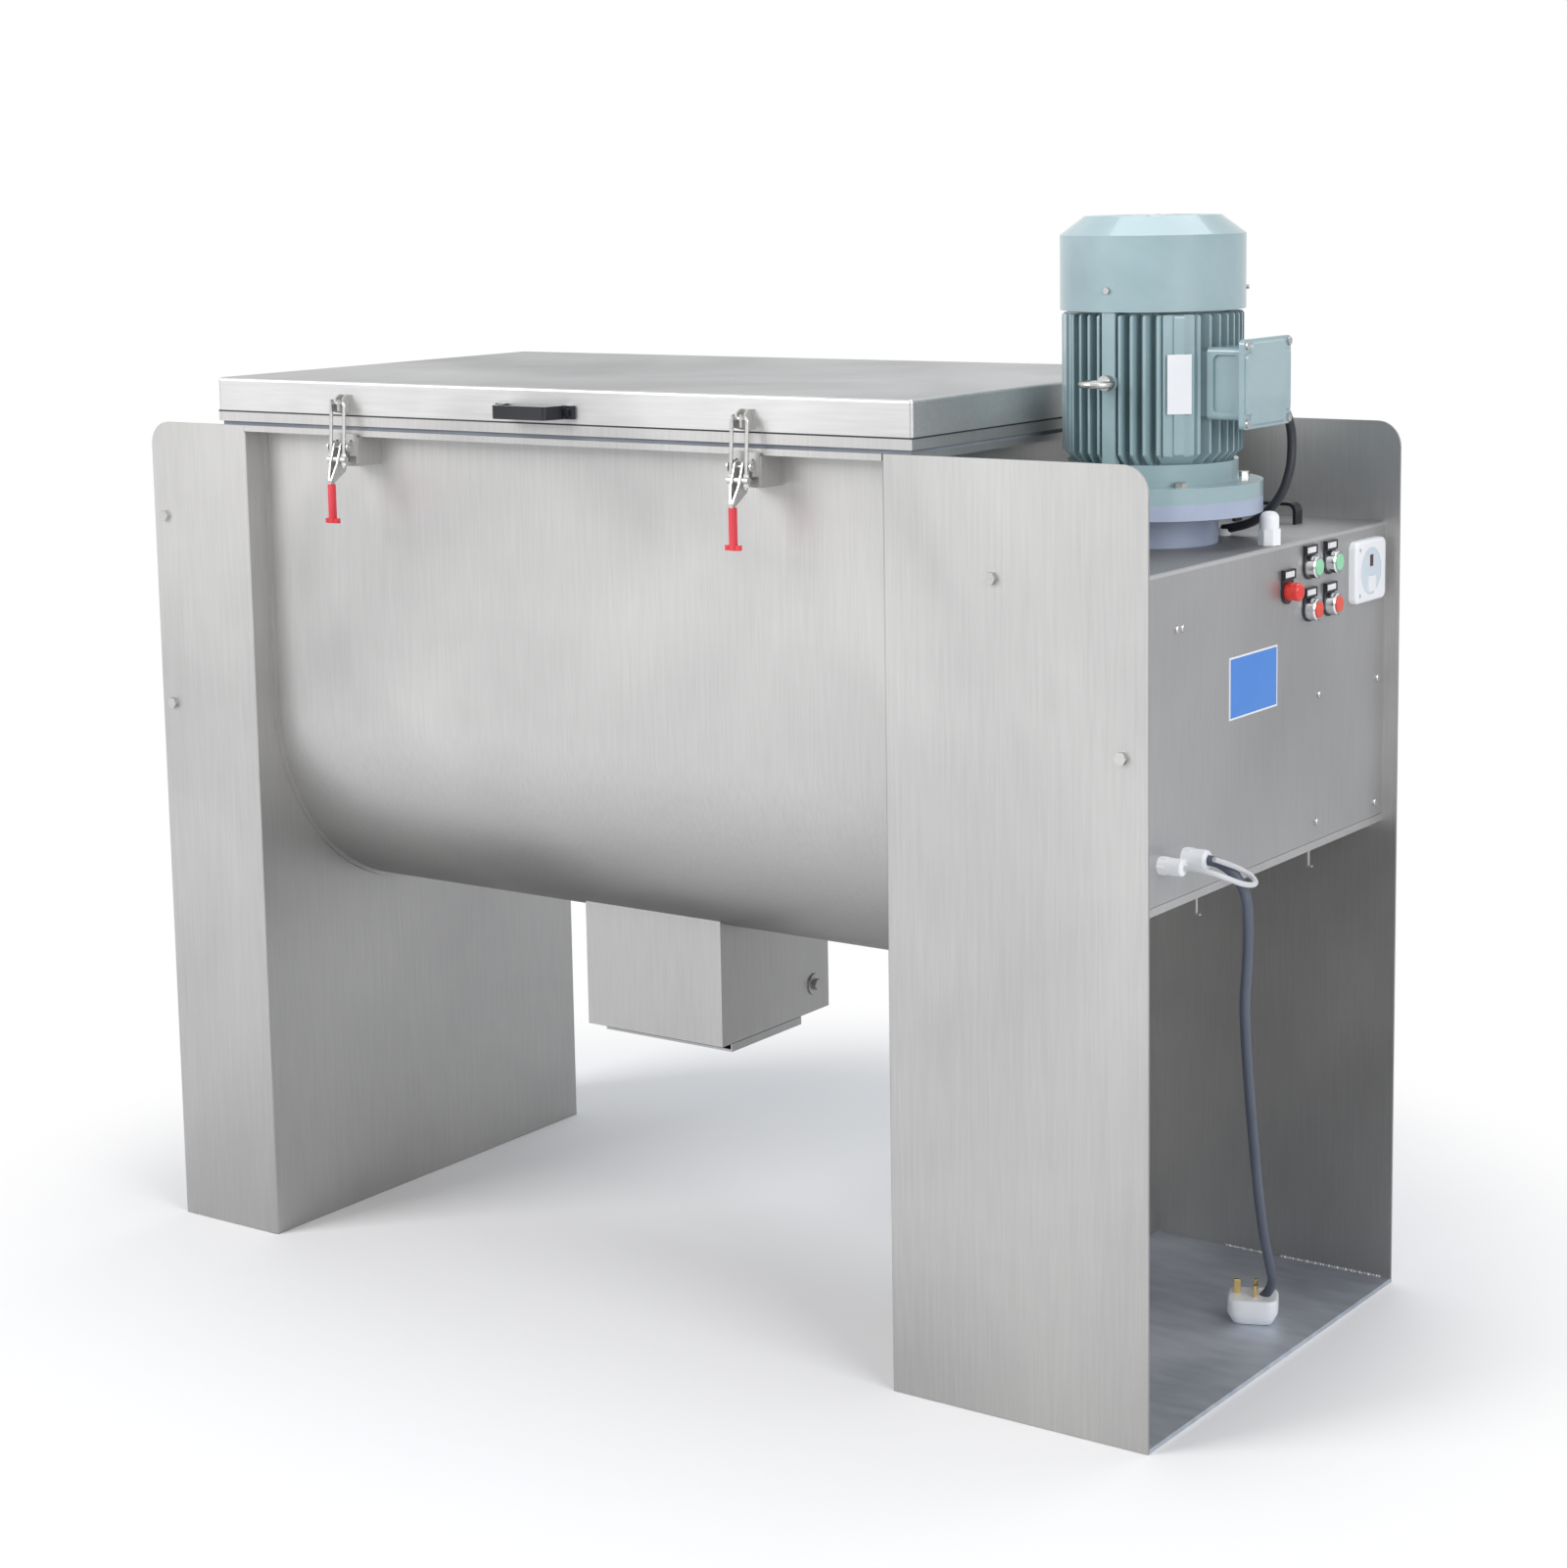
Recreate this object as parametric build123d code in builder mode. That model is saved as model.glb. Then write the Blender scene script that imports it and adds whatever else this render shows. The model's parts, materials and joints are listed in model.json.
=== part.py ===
from build123d import *
import os
from math import cos, radians, sin, tan

os.makedirs("parts", exist_ok=True)

# Ribbon blender: a half-round trough between two sheet stands, turned by a vertical motor.
# Millimetres. X runs along the trough towards the motor, Y from front to back, Z up.
# The origin is on the floor, in the middle of the whole machine.

# Overall sizes
length = 1470.0
depth = 626.0
stand_height = 1070.0
trough_plane = 20.0  # the trough's middle plane lies this far behind the machine's middle
sheet = 3.0
left_stand_length = 169.0
right_stand_length = 329.0
base_thickness = 5.0
corner_radius = 30.0

# Trough and shaft
shaft_height = 708.0
trough_radius = 276.0
weld_width = 5.0
rim_lip = 7.6
gasket_height = 5.0
gasket_width = 12.0
shaft_radius = 30.0
running_gap = 0.05
seal_radius = 60.0
seal_length = 18.0
bearing_radius = 75.0
bearing_flange = 14.0
bearing_length = 44.0

# Ribbon agitator
ribbon_end_gap = 16.0
ribbon_gap = 4.0
outer_ribbon_radius = 268.0
outer_ribbon_width = 45.0
inner_ribbon_radius = 142.0
inner_ribbon_width = 36.0
ribbon_thickness = 8.0
spoke_radius = 9.0
spokes_per_half = 4
ribbon_starts = 2

# Lid
lid_left_overhang = 43.0
lid_right_overhang = 40.0
lid_back_inset = 23.0
lid_frame_height = 12.0
lid_gap = 1.5
lid_pan_height = 41.5
lid_sheet = 2.0
lid_edge_radius = 4.0
lid_frame_width = 40.0
handle_length = 118.0
handle_bar = 76.0
handle_reach = 35.0
handle_height = 16.0
handle_wall = 5.0
hinge_spread = 520.0
hinge_pin_radius = 4.0
hinge_barrel_radius = 8.0
hinge_leaf_length = 80.0
hinge_leaf = 3.0
hinge_offset = 13.0

# Toggle latches
latch_spread = 613.0
bracket_width = 42.0
bracket_out = 4.0
bracket_height = 36.0
bracket_sheet = 2.5
latch_base_height = 38.0
latch_base_sheet = 2.5
ear_span = 17.0
ear_sheet = 2.0
latch_pivot_reach = 7.5
latch_pivot_height = 1050.0
pivot_radius = 2.0
hook_pivot_out = 5.5
hook_pivot_drop = 15.0
hook_leg_radius = 2.25
hook_leg_spacing = 21.5
hook_bar_height = 1104.0
hook_bar_reach = 15.5
cross_rod_radius = 4.0
cheek = 2.0
cheek_gap = 9.0
lever_tip_height = 961.0
tongue_depth = 6.0
grip_out = 17.5
grip_top_height = 1005.5
grip_bottom_height = 957.5
grip_width = 8.5
grip_depth = 10.0
grip_tail_spread = 7.0

# Discharge outlet
chute_length = 214.0
chute_depth = 234.0
chute_bottom = 297.0
spout_length = 160.0
spout_front = 90.0
spout_back = 40.0
spout_bottom = 289.6
gate_top = 289.3
gate_thickness = 3.0
gate_front = 97.0
gate_back = 54.0
gate_left_inset = 13.0
gate_lip = 7.0
gate_pivot_y = 84.0
gate_pivot_z = 333.0
gate_pin_radius = 6.0
gate_ear = 4.0

# Drive housing in the right stand
cover_front_inset = 19.0
cover_sheet = 2.0
cover_bottom = 592.5
cover_top = 950.0
cover_fold = 20.0
motor_plate_thickness = 12.0
tray_lip = 9.0
tray_rail_inset = 26.0
tray_rail_height = 20.0
tray_notch = (-117.0, -63.0)
tray_hooks = (-168.0, 110.0)
tray_hook_drop = 19.0
left_cover_inset = 9.0
left_cover_bottom = 640.0
left_cover_top = 1010.0

# Reducer and motor, on one upright axis
motor_inset = 165.0
neck_radius = 74.5
neck_height = 36.0
flange_radius = 125.0
flange_thickness = 18.0
motor_shield_radius = 97.0
motor_frame_bottom = 1046.0
motor_frame_top = 1222.0
motor_core_radius = 84.0
motor_fin_radius = 102.8
fin_thickness = 3.0
fin_taper = 12.0
fin_round = 4.0
lobe_width = 36.0
lobe_ridge = 12.0
rib_width = 16.0
fin_spacing = 13.5
cowl_radius = 105.0
cowl_bottom = 1216.0
cowl_shoulder = 1300.0
cowl_top = 1321.0
cowl_top_radius = 77.0
cowl_sheet = 2.0
cowl_screw_height = 1240.0
fan_radius = 84.0
fan_lift = 18.0
fan_height = 26.0
fan_hub_radius = 21.0
fan_sheet = 2.5
rotor_radius = 14.0
rotor_depth = 74.0
flange_bolt_circle = 107.5
reducer_length = 140.0
reducer_width = 150.0
reducer_bottom = 632.0
reducer_hub_radius = 50.0
reducer_hub_length = 14.0

# Terminal box on the motor's outer side
box_reach = 94.0
box_depth = 44.0
box_cover_thickness = 9.0
box_recess = 3.0
box_half_width = 48.0
box_bottom = 1096.0
box_top = 1176.0
cover_margin = 9.5
cover_step = 3.0
cover_screw_inset = 6.5
eye_height = 1138.0
eye_ring_radius = 16.5
eye_wire_radius = 3.8
eye_collar_radius = 8.5
eye_collar_length = 10.0

# Controls on the housing's front
button_rows = (918.0, 869.0)
button_columns = (103.0, 156.0)
button_bezel_radius = 13.0
button_bezel_height = 14.0
button_cap_radius = 9.5
button_cap_rise = 1.5
button_travel = 3.0
lamp_place = (47.0, 896.0)
legend_width = 28.0
legend_height = 50.0
timer_left = 211.0
timer_width = 83.0
timer_bottom = 860.0
timer_height = 74.0
timer_depth = 10.0
dial_place = (251.0, 897.0)
dial_radius = 28.0
display_place = (254.0, 909.0)
key_place = (254.0, 881.0)
key_width = 20.0
key_height = 19.0
key_travel = 1.5
lamp_radius = 10.5
lamp_depth = 17.0
plate_place = (-35.5, 803.0)
plate_size = (117.0, 70.0)
top_handle_out = 68.0
top_handle_y = 234.0
top_handle_length = 80.0
top_handle_height = 26.0
top_handle_bar = 4.0
top_handle_width = 18.0

# Cords, given by the corners of their routes: X from the machine's right end,
# Y from the trough's middle plane, and Z
mains_cord_radius = 5.75
signal_cord_radius = 3.0
motor_cable_radius = 5.4
gland_reach = 29.0
mains_gland_place = (-196.0, 634.0)
signal_gland_place = (-251.0, 636.0)
top_gland_inset = 14.0
top_gland_y = 31.0
box_gland_out = 26.0
box_gland_z = 1106.0
grommet_out = 42.0
grommet_y = 91.0
plug_place = (-82.0, 102.0, 24.0)
mains_route = (
    (-5.0, -196.0, 634.0),
    (36.0, -196.0, 634.0),
    (40.0, -195.0, 575.0),
    (33.0, -168.0, 480.0),
    (5.0, -85.0, 330.0),
    (-33.0, 20.0, 155.0),
    (-47.0, 72.0, 85.0),
    (-53.0, 96.0, 52.0),
    (-71.0, 101.0, 32.0),
)
signal_route = (
    (-5.0, -251.0, 636.0),
    (43.0, -251.0, 636.0),
    (66.0, -228.0, 621.0),
    (71.0, -200.0, 617.0),
    (62.0, -193.0, 624.0),
    (31.0, -224.0, 643.0),
)
motor_cable_route = (
    (-45.0, 56.0, 1106.0),
    (-45.0, 84.0, 1106.0),
    (-38.0, 97.0, 1012.0),
    (-85.0, 95.0, 965.0),
    (-123.0, 91.0, 957.0),
)

# Fasteners
bolt_radius = 4.0
bolt_head_radius = 7.5
bolt_head_height = 5.5
screw_radius = 2.5
screw_head_radius = 4.5
screw_head_height = 3.0

# Places worked out from the sizes
left_end = -length / 2
right_end = length / 2
left_web = left_end + left_stand_length
right_web = right_end - right_stand_length
front = trough_plane - depth / 2
back = trough_plane + depth / 2
trough_length = right_web - left_web
ribbon_pitch = trough_length / 2 - ribbon_end_gap
trough_middle = (left_web + right_web) / 2
inner_radius = trough_radius - sheet
lid_left = left_web - lid_left_overhang
lid_right = right_web + lid_right_overhang
rim_bottom = stand_height - sheet
lid_bottom = stand_height + gasket_height
pan_bottom = lid_bottom + lid_frame_height + lid_gap
lid_top = pan_bottom + lid_pan_height
lid_back = back - lid_back_inset
lid_middle = (lid_left + lid_right) / 2
hinge_y = lid_back + hinge_offset
hinge_z = stand_height + 12.0
cover_face = right_end - cover_front_inset
motor_x = right_end - motor_inset
motor_plate_top = cover_top - cover_sheet
motor_plate_bottom = motor_plate_top - motor_plate_thickness
flange_bottom = cover_top + neck_height
flange_joint = flange_bottom + flange_thickness
reducer_front = motor_x - reducer_length / 2
reducer_back = motor_x + reducer_length / 2
box_inner = motor_x + box_reach
box_outer = box_inner + box_depth
box_cover = box_outer + box_cover_thickness
shaft_axis = Axis((0, trough_plane, shaft_height), (1, 0, 0))
motor_axis = Axis((motor_x, trough_plane, 0), (0, 0, 1))


def square_to_x(x, y, z):
    """Upright sketch plane that looks towards +X: its own axes are Y and Z."""
    return Plane(origin=(x, y, z), x_dir=(0, 1, 0), z_dir=(1, 0, 0))


def across(x):
    """Sketch plane square to the trough at x: its own axes are Y and Z, with the origin at the shaft."""
    return square_to_x(x, trough_plane, shaft_height)


def level(z, x=0.0, y=trough_plane):
    """Level sketch plane at height z, with its origin on the trough's middle plane."""
    return Plane(origin=(x, y, z), x_dir=(1, 0, 0), z_dir=(0, 0, 1))


def facing_front(x, y, z):
    """Upright sketch plane that looks towards the front: its own axes are X and Z."""
    return Plane(origin=(x, y, z), x_dir=(1, 0, 0), z_dir=(0, -1, 0))


def facing_right(y, z, x=cover_face):
    """The same plane on the housing's front, with y from the trough's middle plane."""
    return square_to_x(x, trough_plane + y, z)


# Stands: folded channels, the web against the trough, the two flanges outwards
flange_bolts = {
    "left": ((left_end + 20, 948.0), (left_end + 20, 700.0)),
    "right": ((right_end - 190, motor_plate_bottom + motor_plate_thickness / 2), (right_end - 31, 761.0)),
}


def make_stand(web, end, bolts):
    outward = 1 if end > web else -1
    inside_web = web + outward * sheet
    with BuildPart() as stand:
        with BuildSketch(level(0, (web + end) / 2)):
            Rectangle(abs(end - web), depth)
        extrude(amount=stand_height)
        web_corners = stand.edges().filter_by(Axis.Z).sort_by(Axis.X, reverse=outward < 0)[:2]
        fillet(web_corners, radius=sheet)
        with BuildSketch(level(0, (inside_web + end) / 2)):
            Rectangle(abs(end - inside_web), depth - 2 * sheet)
        extrude(amount=stand_height, mode=Mode.SUBTRACT)
        with BuildSketch(level(rim_bottom, (web + inside_web) / 2)):
            Rectangle(sheet, depth - 2 * sheet)
        extrude(amount=sheet, mode=Mode.SUBTRACT)
        top_corners = stand.edges().filter_by(Axis.Y).group_by(Axis.Z)[-1]
        fillet(top_corners.sort_by(Axis.X, reverse=outward > 0)[:2], radius=corner_radius)
        with BuildSketch(across(web)):
            Circle(shaft_radius + 1.0)
        extrude(amount=outward * sheet, mode=Mode.SUBTRACT)
        for x, z in bolts:
            with BuildSketch(facing_front(x, front, z)):
                Circle(bolt_radius)
            extrude(amount=-depth, mode=Mode.SUBTRACT)
    return stand


left_stand = make_stand(left_web, left_end, flange_bolts["left"])
left_stand.part.label = "left_stand"
export_step(left_stand.part, "parts/left_stand.step")

right_stand = make_stand(right_web, right_end, flange_bolts["right"])
right_stand.part.label = "right_stand"
export_step(right_stand.part, "parts/right_stand.step")

# Base plates, welded in between the flanges
with BuildPart() as base_plates:
    for inner, outer in ((left_web - sheet, left_end), (right_web + sheet, right_end)):
        with BuildSketch(level(0, (inner + outer) / 2)):
            Rectangle(abs(outer - inner), depth - 2 * sheet)
        extrude(amount=base_thickness)
base_plates.part.label = "base_plates"
export_step(base_plates.part, "parts/base_plates.step")


# Trough: half-round bottom, straight walls, an outlet cut through the bottom, welds at the stands
def trough_outline(radius, top, mode=Mode.ADD):
    Circle(radius, mode=mode)
    with Locations((0, (top - shaft_height) / 2)):
        Rectangle(2 * radius, top - shaft_height, mode=mode)


with BuildPart() as trough_shell:
    with BuildSketch(across(left_web)):
        trough_outline(trough_radius, rim_bottom)
        trough_outline(inner_radius, stand_height, mode=Mode.SUBTRACT)
    extrude(amount=trough_length)
    with BuildSketch(level(chute_bottom, trough_middle, trough_plane + (spout_back - spout_front) / 2)):
        Rectangle(spout_length, spout_front + spout_back)
    extrude(amount=shaft_height - chute_bottom, mode=Mode.SUBTRACT)
    for web, way in ((left_web, 1), (right_web, -1)):
        with BuildSketch(across(web)):
            trough_outline(trough_radius + weld_width, rim_bottom - rim_lip)
            trough_outline(trough_radius, stand_height, mode=Mode.SUBTRACT)
        extrude(amount=way * weld_width)
trough_shell.part.label = "trough_shell"
export_step(trough_shell.part, "parts/trough_shell.step")

# Rim: flat frame round the trough's mouth, with turned-down lips
rim_left = lid_left + 3.0
rim_right = lid_right - 3.0
with BuildPart() as trough_rim:
    with BuildSketch(level(rim_bottom, (rim_left + rim_right) / 2)):
        Rectangle(rim_right - rim_left, depth - 2 * sheet)
        with Locations((trough_middle - (rim_left + rim_right) / 2, 0)):
            Rectangle(trough_length, depth)
            Rectangle(trough_length, 2 * inner_radius, mode=Mode.SUBTRACT)
    extrude(amount=sheet)
    with BuildSketch(level(stand_height - rim_lip, trough_middle)):
        with Locations((0, (depth - sheet) / 2), (0, (sheet - depth) / 2)):
            Rectangle(trough_length, sheet)
    extrude(amount=rim_lip)
    with BuildSketch(level(stand_height - rim_lip, (rim_left + rim_right) / 2)):
        with Locations(((rim_right - rim_left - sheet) / 2, 0), ((sheet - rim_right + rim_left) / 2, 0)):
            Rectangle(sheet, depth - 2 * sheet)
    extrude(amount=rim_lip)
trough_rim.part.label = "trough_rim"
export_step(trough_rim.part, "parts/trough_rim.step")

# Rubber gasket on the rim, under the edge of the lid
gasket_inset = 4.0
gasket_depth = lid_back - front - 2 * gasket_inset
gasket_length = lid_right - lid_left - 2 * gasket_inset
with BuildPart() as rim_gasket:
    with BuildSketch(level(stand_height, lid_middle, (lid_back + front) / 2)):
        Rectangle(gasket_length, gasket_depth)
        Rectangle(gasket_length - 2 * gasket_width, gasket_depth - 2 * gasket_width, mode=Mode.SUBTRACT)
    extrude(amount=gasket_height)
rim_gasket.part.label = "rim_gasket"
export_step(rim_gasket.part, "parts/rim_gasket.step")

# Shaft seals on the outer side of each web, and a flanged bearing behind each seal
seats = ((left_web - sheet, -1), (right_web + sheet, 1))
with BuildPart() as shaft_seals:
    for seat, way in seats:
        with BuildSketch(across(seat)):
            Circle(seal_radius)
            Circle(shaft_radius + running_gap, mode=Mode.SUBTRACT)
        extrude(amount=way * seal_length)
shaft_seals.part.label = "shaft_seals"
export_step(shaft_seals.part, "parts/shaft_seals.step")

with BuildPart() as bearing_housings:
    for seat, way in seats:
        face = seat + way * seal_length
        with BuildSketch(across(face)):
            Circle(bearing_radius)
            Circle(shaft_radius + 15, mode=Mode.SUBTRACT)
        extrude(amount=way * bearing_flange)
        with BuildSketch(across(face + way * bearing_flange)):
            Circle(bearing_radius - 20)
            Circle(shaft_radius + 15, mode=Mode.SUBTRACT)
        extrude(amount=way * (bearing_length - bearing_flange))
bearing_housings.part.label = "bearing_housings"
export_step(bearing_housings.part, "parts/bearing_housings.step")

with BuildPart() as bearing_rings:
    for seat, way in seats:
        with BuildSketch(across(seat + way * seal_length)):
            Circle(shaft_radius + 15)
            Circle(shaft_radius + running_gap, mode=Mode.SUBTRACT)
        extrude(amount=way * (bearing_length - 6))
bearing_rings.part.label = "bearing_rings"
export_step(bearing_rings.part, "parts/bearing_rings.step")

# End cover inside the left stand, folded in along both flanges
left_cover_x = left_end + left_cover_inset
with BuildPart() as left_cover:
    with BuildSketch(level(left_cover_bottom, left_cover_x + cover_fold / 2)):
        Rectangle(cover_fold, depth - 2 * sheet)
    extrude(amount=left_cover_top - left_cover_bottom)
    with BuildSketch(level(left_cover_bottom, left_cover_x + cover_sheet + cover_fold / 2)):
        Rectangle(cover_fold, depth - 2 * sheet - 2 * cover_sheet)
    extrude(amount=left_cover_top - left_cover_bottom, mode=Mode.SUBTRACT)
    for x, z in flange_bolts["left"]:
        with BuildSketch(facing_front(x, front, z)):
            Circle(bolt_radius)
        extrude(amount=-depth, mode=Mode.SUBTRACT)
left_cover.part.label = "left_cover"
export_step(left_cover.part, "parts/left_cover.step")

# Agitator shaft, with a cross hole for each spoke and an output end in the reducer
shaft_start = left_web - sheet - seal_length - bearing_length - 8
shaft_end = reducer_back - 20
spoke_step = ribbon_pitch / 4
spoke_places = [
    (trough_middle + n * spoke_step, 90.0 * ((n + 1) % 2))
    for n in range(-spokes_per_half, spokes_per_half + 1)
]


def spoke_plane(x, turn):
    return Plane(origin=(x, trough_plane, shaft_height), z_dir=(0, cos(radians(turn)), sin(radians(turn))))


with BuildPart() as ribbon_shaft:
    with BuildSketch(across(shaft_start)):
        Circle(shaft_radius)
    extrude(amount=shaft_end - shaft_start)
    chamfer(ribbon_shaft.faces().sort_by(Axis.X)[0].edges(), length=2)
    for x, turn in spoke_places:
        with BuildSketch(spoke_plane(x, turn)):
            Circle(spoke_radius)
        extrude(amount=shaft_radius + 5, both=True, mode=Mode.SUBTRACT)
ribbon_shaft.part.label = "ribbon_shaft"
export_step(ribbon_shaft.part, "parts/ribbon_shaft.step")

# Spokes: bars straight through the shaft, each carrying both ribbons
spoke_reach = outer_ribbon_radius - outer_ribbon_width / 2
with BuildPart() as ribbon_spokes:
    for x, turn in spoke_places:
        with BuildSketch(spoke_plane(x, turn)):
            Circle(spoke_radius)
        extrude(amount=spoke_reach, both=True)
ribbon_spokes.part.label = "ribbon_spokes"
export_step(ribbon_spokes.part, "parts/ribbon_spokes.step")


# Ribbons: two starts on each half, one hand on the left half and the other on the right
def helical_half(radius, width, lefthand):
    """One strip from the middle of the trough to its right end, square to its own helix."""
    middle = radius - width / 2
    with BuildPart() as strip:
        with BuildLine() as path:
            Helix(
                ribbon_pitch,
                ribbon_pitch - ribbon_gap + spoke_radius,
                middle,
                center=(trough_middle + ribbon_gap, trough_plane, shaft_height),
                direction=(1, 0, 0),
                lefthand=lefthand,
            )
        begin = path.line @ 0
        outwards = begin - Vector(begin.X, trough_plane, shaft_height)
        with BuildSketch(Plane(origin=begin, x_dir=outwards, z_dir=path.line % 0)):
            Rectangle(width, ribbon_thickness)
        sweep(path=path.line, is_frenet=True)
    return strip.part


def ribbon_set(radius, width, lefthand):
    half = helical_half(radius, width, lefthand)
    advance = 360 * ribbon_gap / ribbon_pitch * (-1 if lefthand else 1)
    with BuildPart() as ribbons:
        for start in range(ribbon_starts):
            add(half.rotate(shaft_axis, 360 * start / ribbon_starts + advance))
        mirror(about=Plane.YZ.offset(trough_middle))
    return ribbons


outer_ribbons = ribbon_set(outer_ribbon_radius, outer_ribbon_width, lefthand=False)
outer_ribbons.part.label = "outer_ribbons"
export_step(outer_ribbons.part, "parts/outer_ribbons.step")

inner_ribbons = ribbon_set(inner_ribbon_radius, inner_ribbon_width, lefthand=True)
inner_ribbons.part.label = "inner_ribbons"
export_step(inner_ribbons.part, "parts/inner_ribbons.step")

# Lid: a folded pan above a flat frame, with a narrow open line between the two
lid_length = lid_right - lid_left
lid_depth = lid_back - front
lid_y = (lid_back + front) / 2
with BuildPart() as lid_pan:
    with BuildSketch(level(pan_bottom, lid_middle, lid_y)):
        RectangleRounded(lid_length, lid_depth, lid_edge_radius)
    extrude(amount=lid_pan_height)
    fillet(lid_pan.faces().sort_by(Axis.Z)[-1].edges(), radius=lid_edge_radius)
    with BuildSketch(level(pan_bottom, lid_middle, lid_y)):
        RectangleRounded(lid_length - 2 * lid_sheet, lid_depth - 2 * lid_sheet, lid_edge_radius - lid_sheet)
    extrude(amount=lid_pan_height - lid_edge_radius, mode=Mode.SUBTRACT)
lid_pan.part.label = "lid_pan"
export_step(lid_pan.part, "parts/lid_pan.step")

with BuildPart() as lid_frame:
    with BuildSketch(level(lid_bottom, lid_middle, lid_y)):
        Rectangle(lid_length, lid_depth)
        Rectangle(lid_length - 2 * lid_frame_width, lid_depth - 2 * lid_frame_width, mode=Mode.SUBTRACT)
    extrude(amount=lid_frame_height)
    with BuildSketch(level(lid_bottom, lid_middle, lid_y)):
        Rectangle(lid_length, lid_depth)
    extrude(amount=lid_sheet)
    with BuildSketch(level(pan_bottom - lid_gap, lid_middle, lid_y)):
        Rectangle(lid_length - 6, lid_depth - 6)
        Rectangle(lid_length - 16, lid_depth - 16, mode=Mode.SUBTRACT)
    extrude(amount=lid_gap)
lid_frame.part.label = "lid_frame"
export_step(lid_frame.part, "parts/lid_frame.step")

# Bow handle in the middle of the lid's front
handle_bottom = pan_bottom + 6
half_foot = handle_length / 2
half_bar = handle_bar / 2
with BuildPart() as lid_handle:
    with BuildSketch(level(handle_bottom, lid_middle, front)):
        with BuildLine():
            FilletPolyline(
                (-half_foot, -handle_wall / 2),
                (-half_foot + 14, -handle_wall / 2),
                (-half_bar, -handle_reach + handle_wall / 2),
                (half_bar, -handle_reach + handle_wall / 2),
                (half_foot - 14, -handle_wall / 2),
                (half_foot, -handle_wall / 2),
                radius=4,
            )
        trace(line_width=handle_wall)
        with Locations((0, -handle_reach / 2)):
            Rectangle(handle_length, handle_reach, mode=Mode.INTERSECT)
    extrude(amount=handle_height)
    for x in (-half_foot + 8, half_foot - 8):
        with BuildSketch(facing_front(lid_middle + x, front - handle_wall, handle_bottom + handle_height / 2)):
            Circle(screw_head_radius)
        extrude(amount=screw_head_height)
lid_handle.part.label = "lid_handle"
export_step(lid_handle.part, "parts/lid_handle.step")

# Catches on the lid: two hooked cheeks that the latch's bar pulls down on
latch_places = (trough_middle - latch_spread / 2, trough_middle + latch_spread / 2)
bar_y = front - hook_bar_reach
catch_half = 5.8
catch_bottom = pan_bottom + 2
catch_top = lid_top - 16
notch = hook_leg_radius + running_gap
with BuildPart() as lid_catches:
    for x in latch_places:
        with BuildSketch(level(catch_bottom, x, front - 1)):
            Rectangle(2 * catch_half + 8, 2)
        extrude(amount=catch_top - catch_bottom)
        for side in (-1, 1):
            with BuildSketch(square_to_x(x + side * catch_half, bar_y, hook_bar_height)):
                with BuildLine():
                    Polyline(
                        (hook_bar_reach - 2, catch_bottom - hook_bar_height),
                        (-6.0, catch_bottom - hook_bar_height + 4),
                        (-6.5, 5.0),
                        (-notch, 5.0),
                        (-notch, 0),
                        (notch, 0),
                        (notch, catch_top - hook_bar_height - 4),
                        (notch + 6, catch_top - hook_bar_height),
                        (hook_bar_reach - 2, catch_top - hook_bar_height),
                        close=True,
                    )
                make_face()
                Circle(notch, mode=Mode.SUBTRACT)
            extrude(amount=1.25, both=True)
lid_catches.part.label = "lid_catches"
export_step(lid_catches.part, "parts/lid_catches.step")

# Hinges behind the lid: fixed leaf with two barrels and the pin, moving leaf with the middle barrel
hinge_places = (lid_middle - hinge_spread / 2, lid_middle + hinge_spread / 2)
barrel_half = hinge_leaf_length / 4 - 0.2
with BuildPart() as frame_hinge_leaves:
    for x in hinge_places:
        with BuildSketch(level(stand_height, x, (lid_back + 3 + back) / 2)):
            Rectangle(hinge_leaf_length, back - lid_back - 3)
        extrude(amount=hinge_leaf)
        with BuildSketch(square_to_x(x - hinge_leaf_length / 2, hinge_y, hinge_z)):
            Circle(hinge_barrel_radius)
            with Locations((0, (stand_height - hinge_z) / 2)):
                Rectangle(8, hinge_z - stand_height)
        extrude(amount=hinge_leaf_length)
        with BuildSketch(square_to_x(x - barrel_half - 0.2, hinge_y, hinge_z)):
            Circle(hinge_barrel_radius + 1)
        extrude(amount=2 * (barrel_half + 0.2), mode=Mode.SUBTRACT)
        with BuildSketch(square_to_x(x - hinge_leaf_length / 2 - 2, hinge_y, hinge_z)):
            Circle(hinge_pin_radius)
        extrude(amount=hinge_leaf_length + 4)
frame_hinge_leaves.part.label = "frame_hinge_leaves"
export_step(frame_hinge_leaves.part, "parts/frame_hinge_leaves.step")

with BuildPart() as lid_hinge_leaves:
    for x in hinge_places:
        with BuildSketch(level(pan_bottom + 2, x, lid_back + hinge_leaf / 2)):
            Rectangle(hinge_leaf_length, hinge_leaf)
        extrude(amount=lid_pan_height - 10)
        with BuildSketch(square_to_x(x - barrel_half, hinge_y, hinge_z)):
            Circle(hinge_barrel_radius)
            with Locations((-hinge_offset / 2, 6)):
                Rectangle(hinge_offset, 4)
            with Locations((-hinge_offset + hinge_leaf / 2, 10)):
                Rectangle(hinge_leaf, 12)
            Circle(hinge_pin_radius + running_gap, mode=Mode.SUBTRACT)
        extrude(amount=2 * barrel_half)
lid_hinge_leaves.part.label = "lid_hinge_leaves"
export_step(lid_hinge_leaves.part, "parts/lid_hinge_leaves.step")

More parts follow.
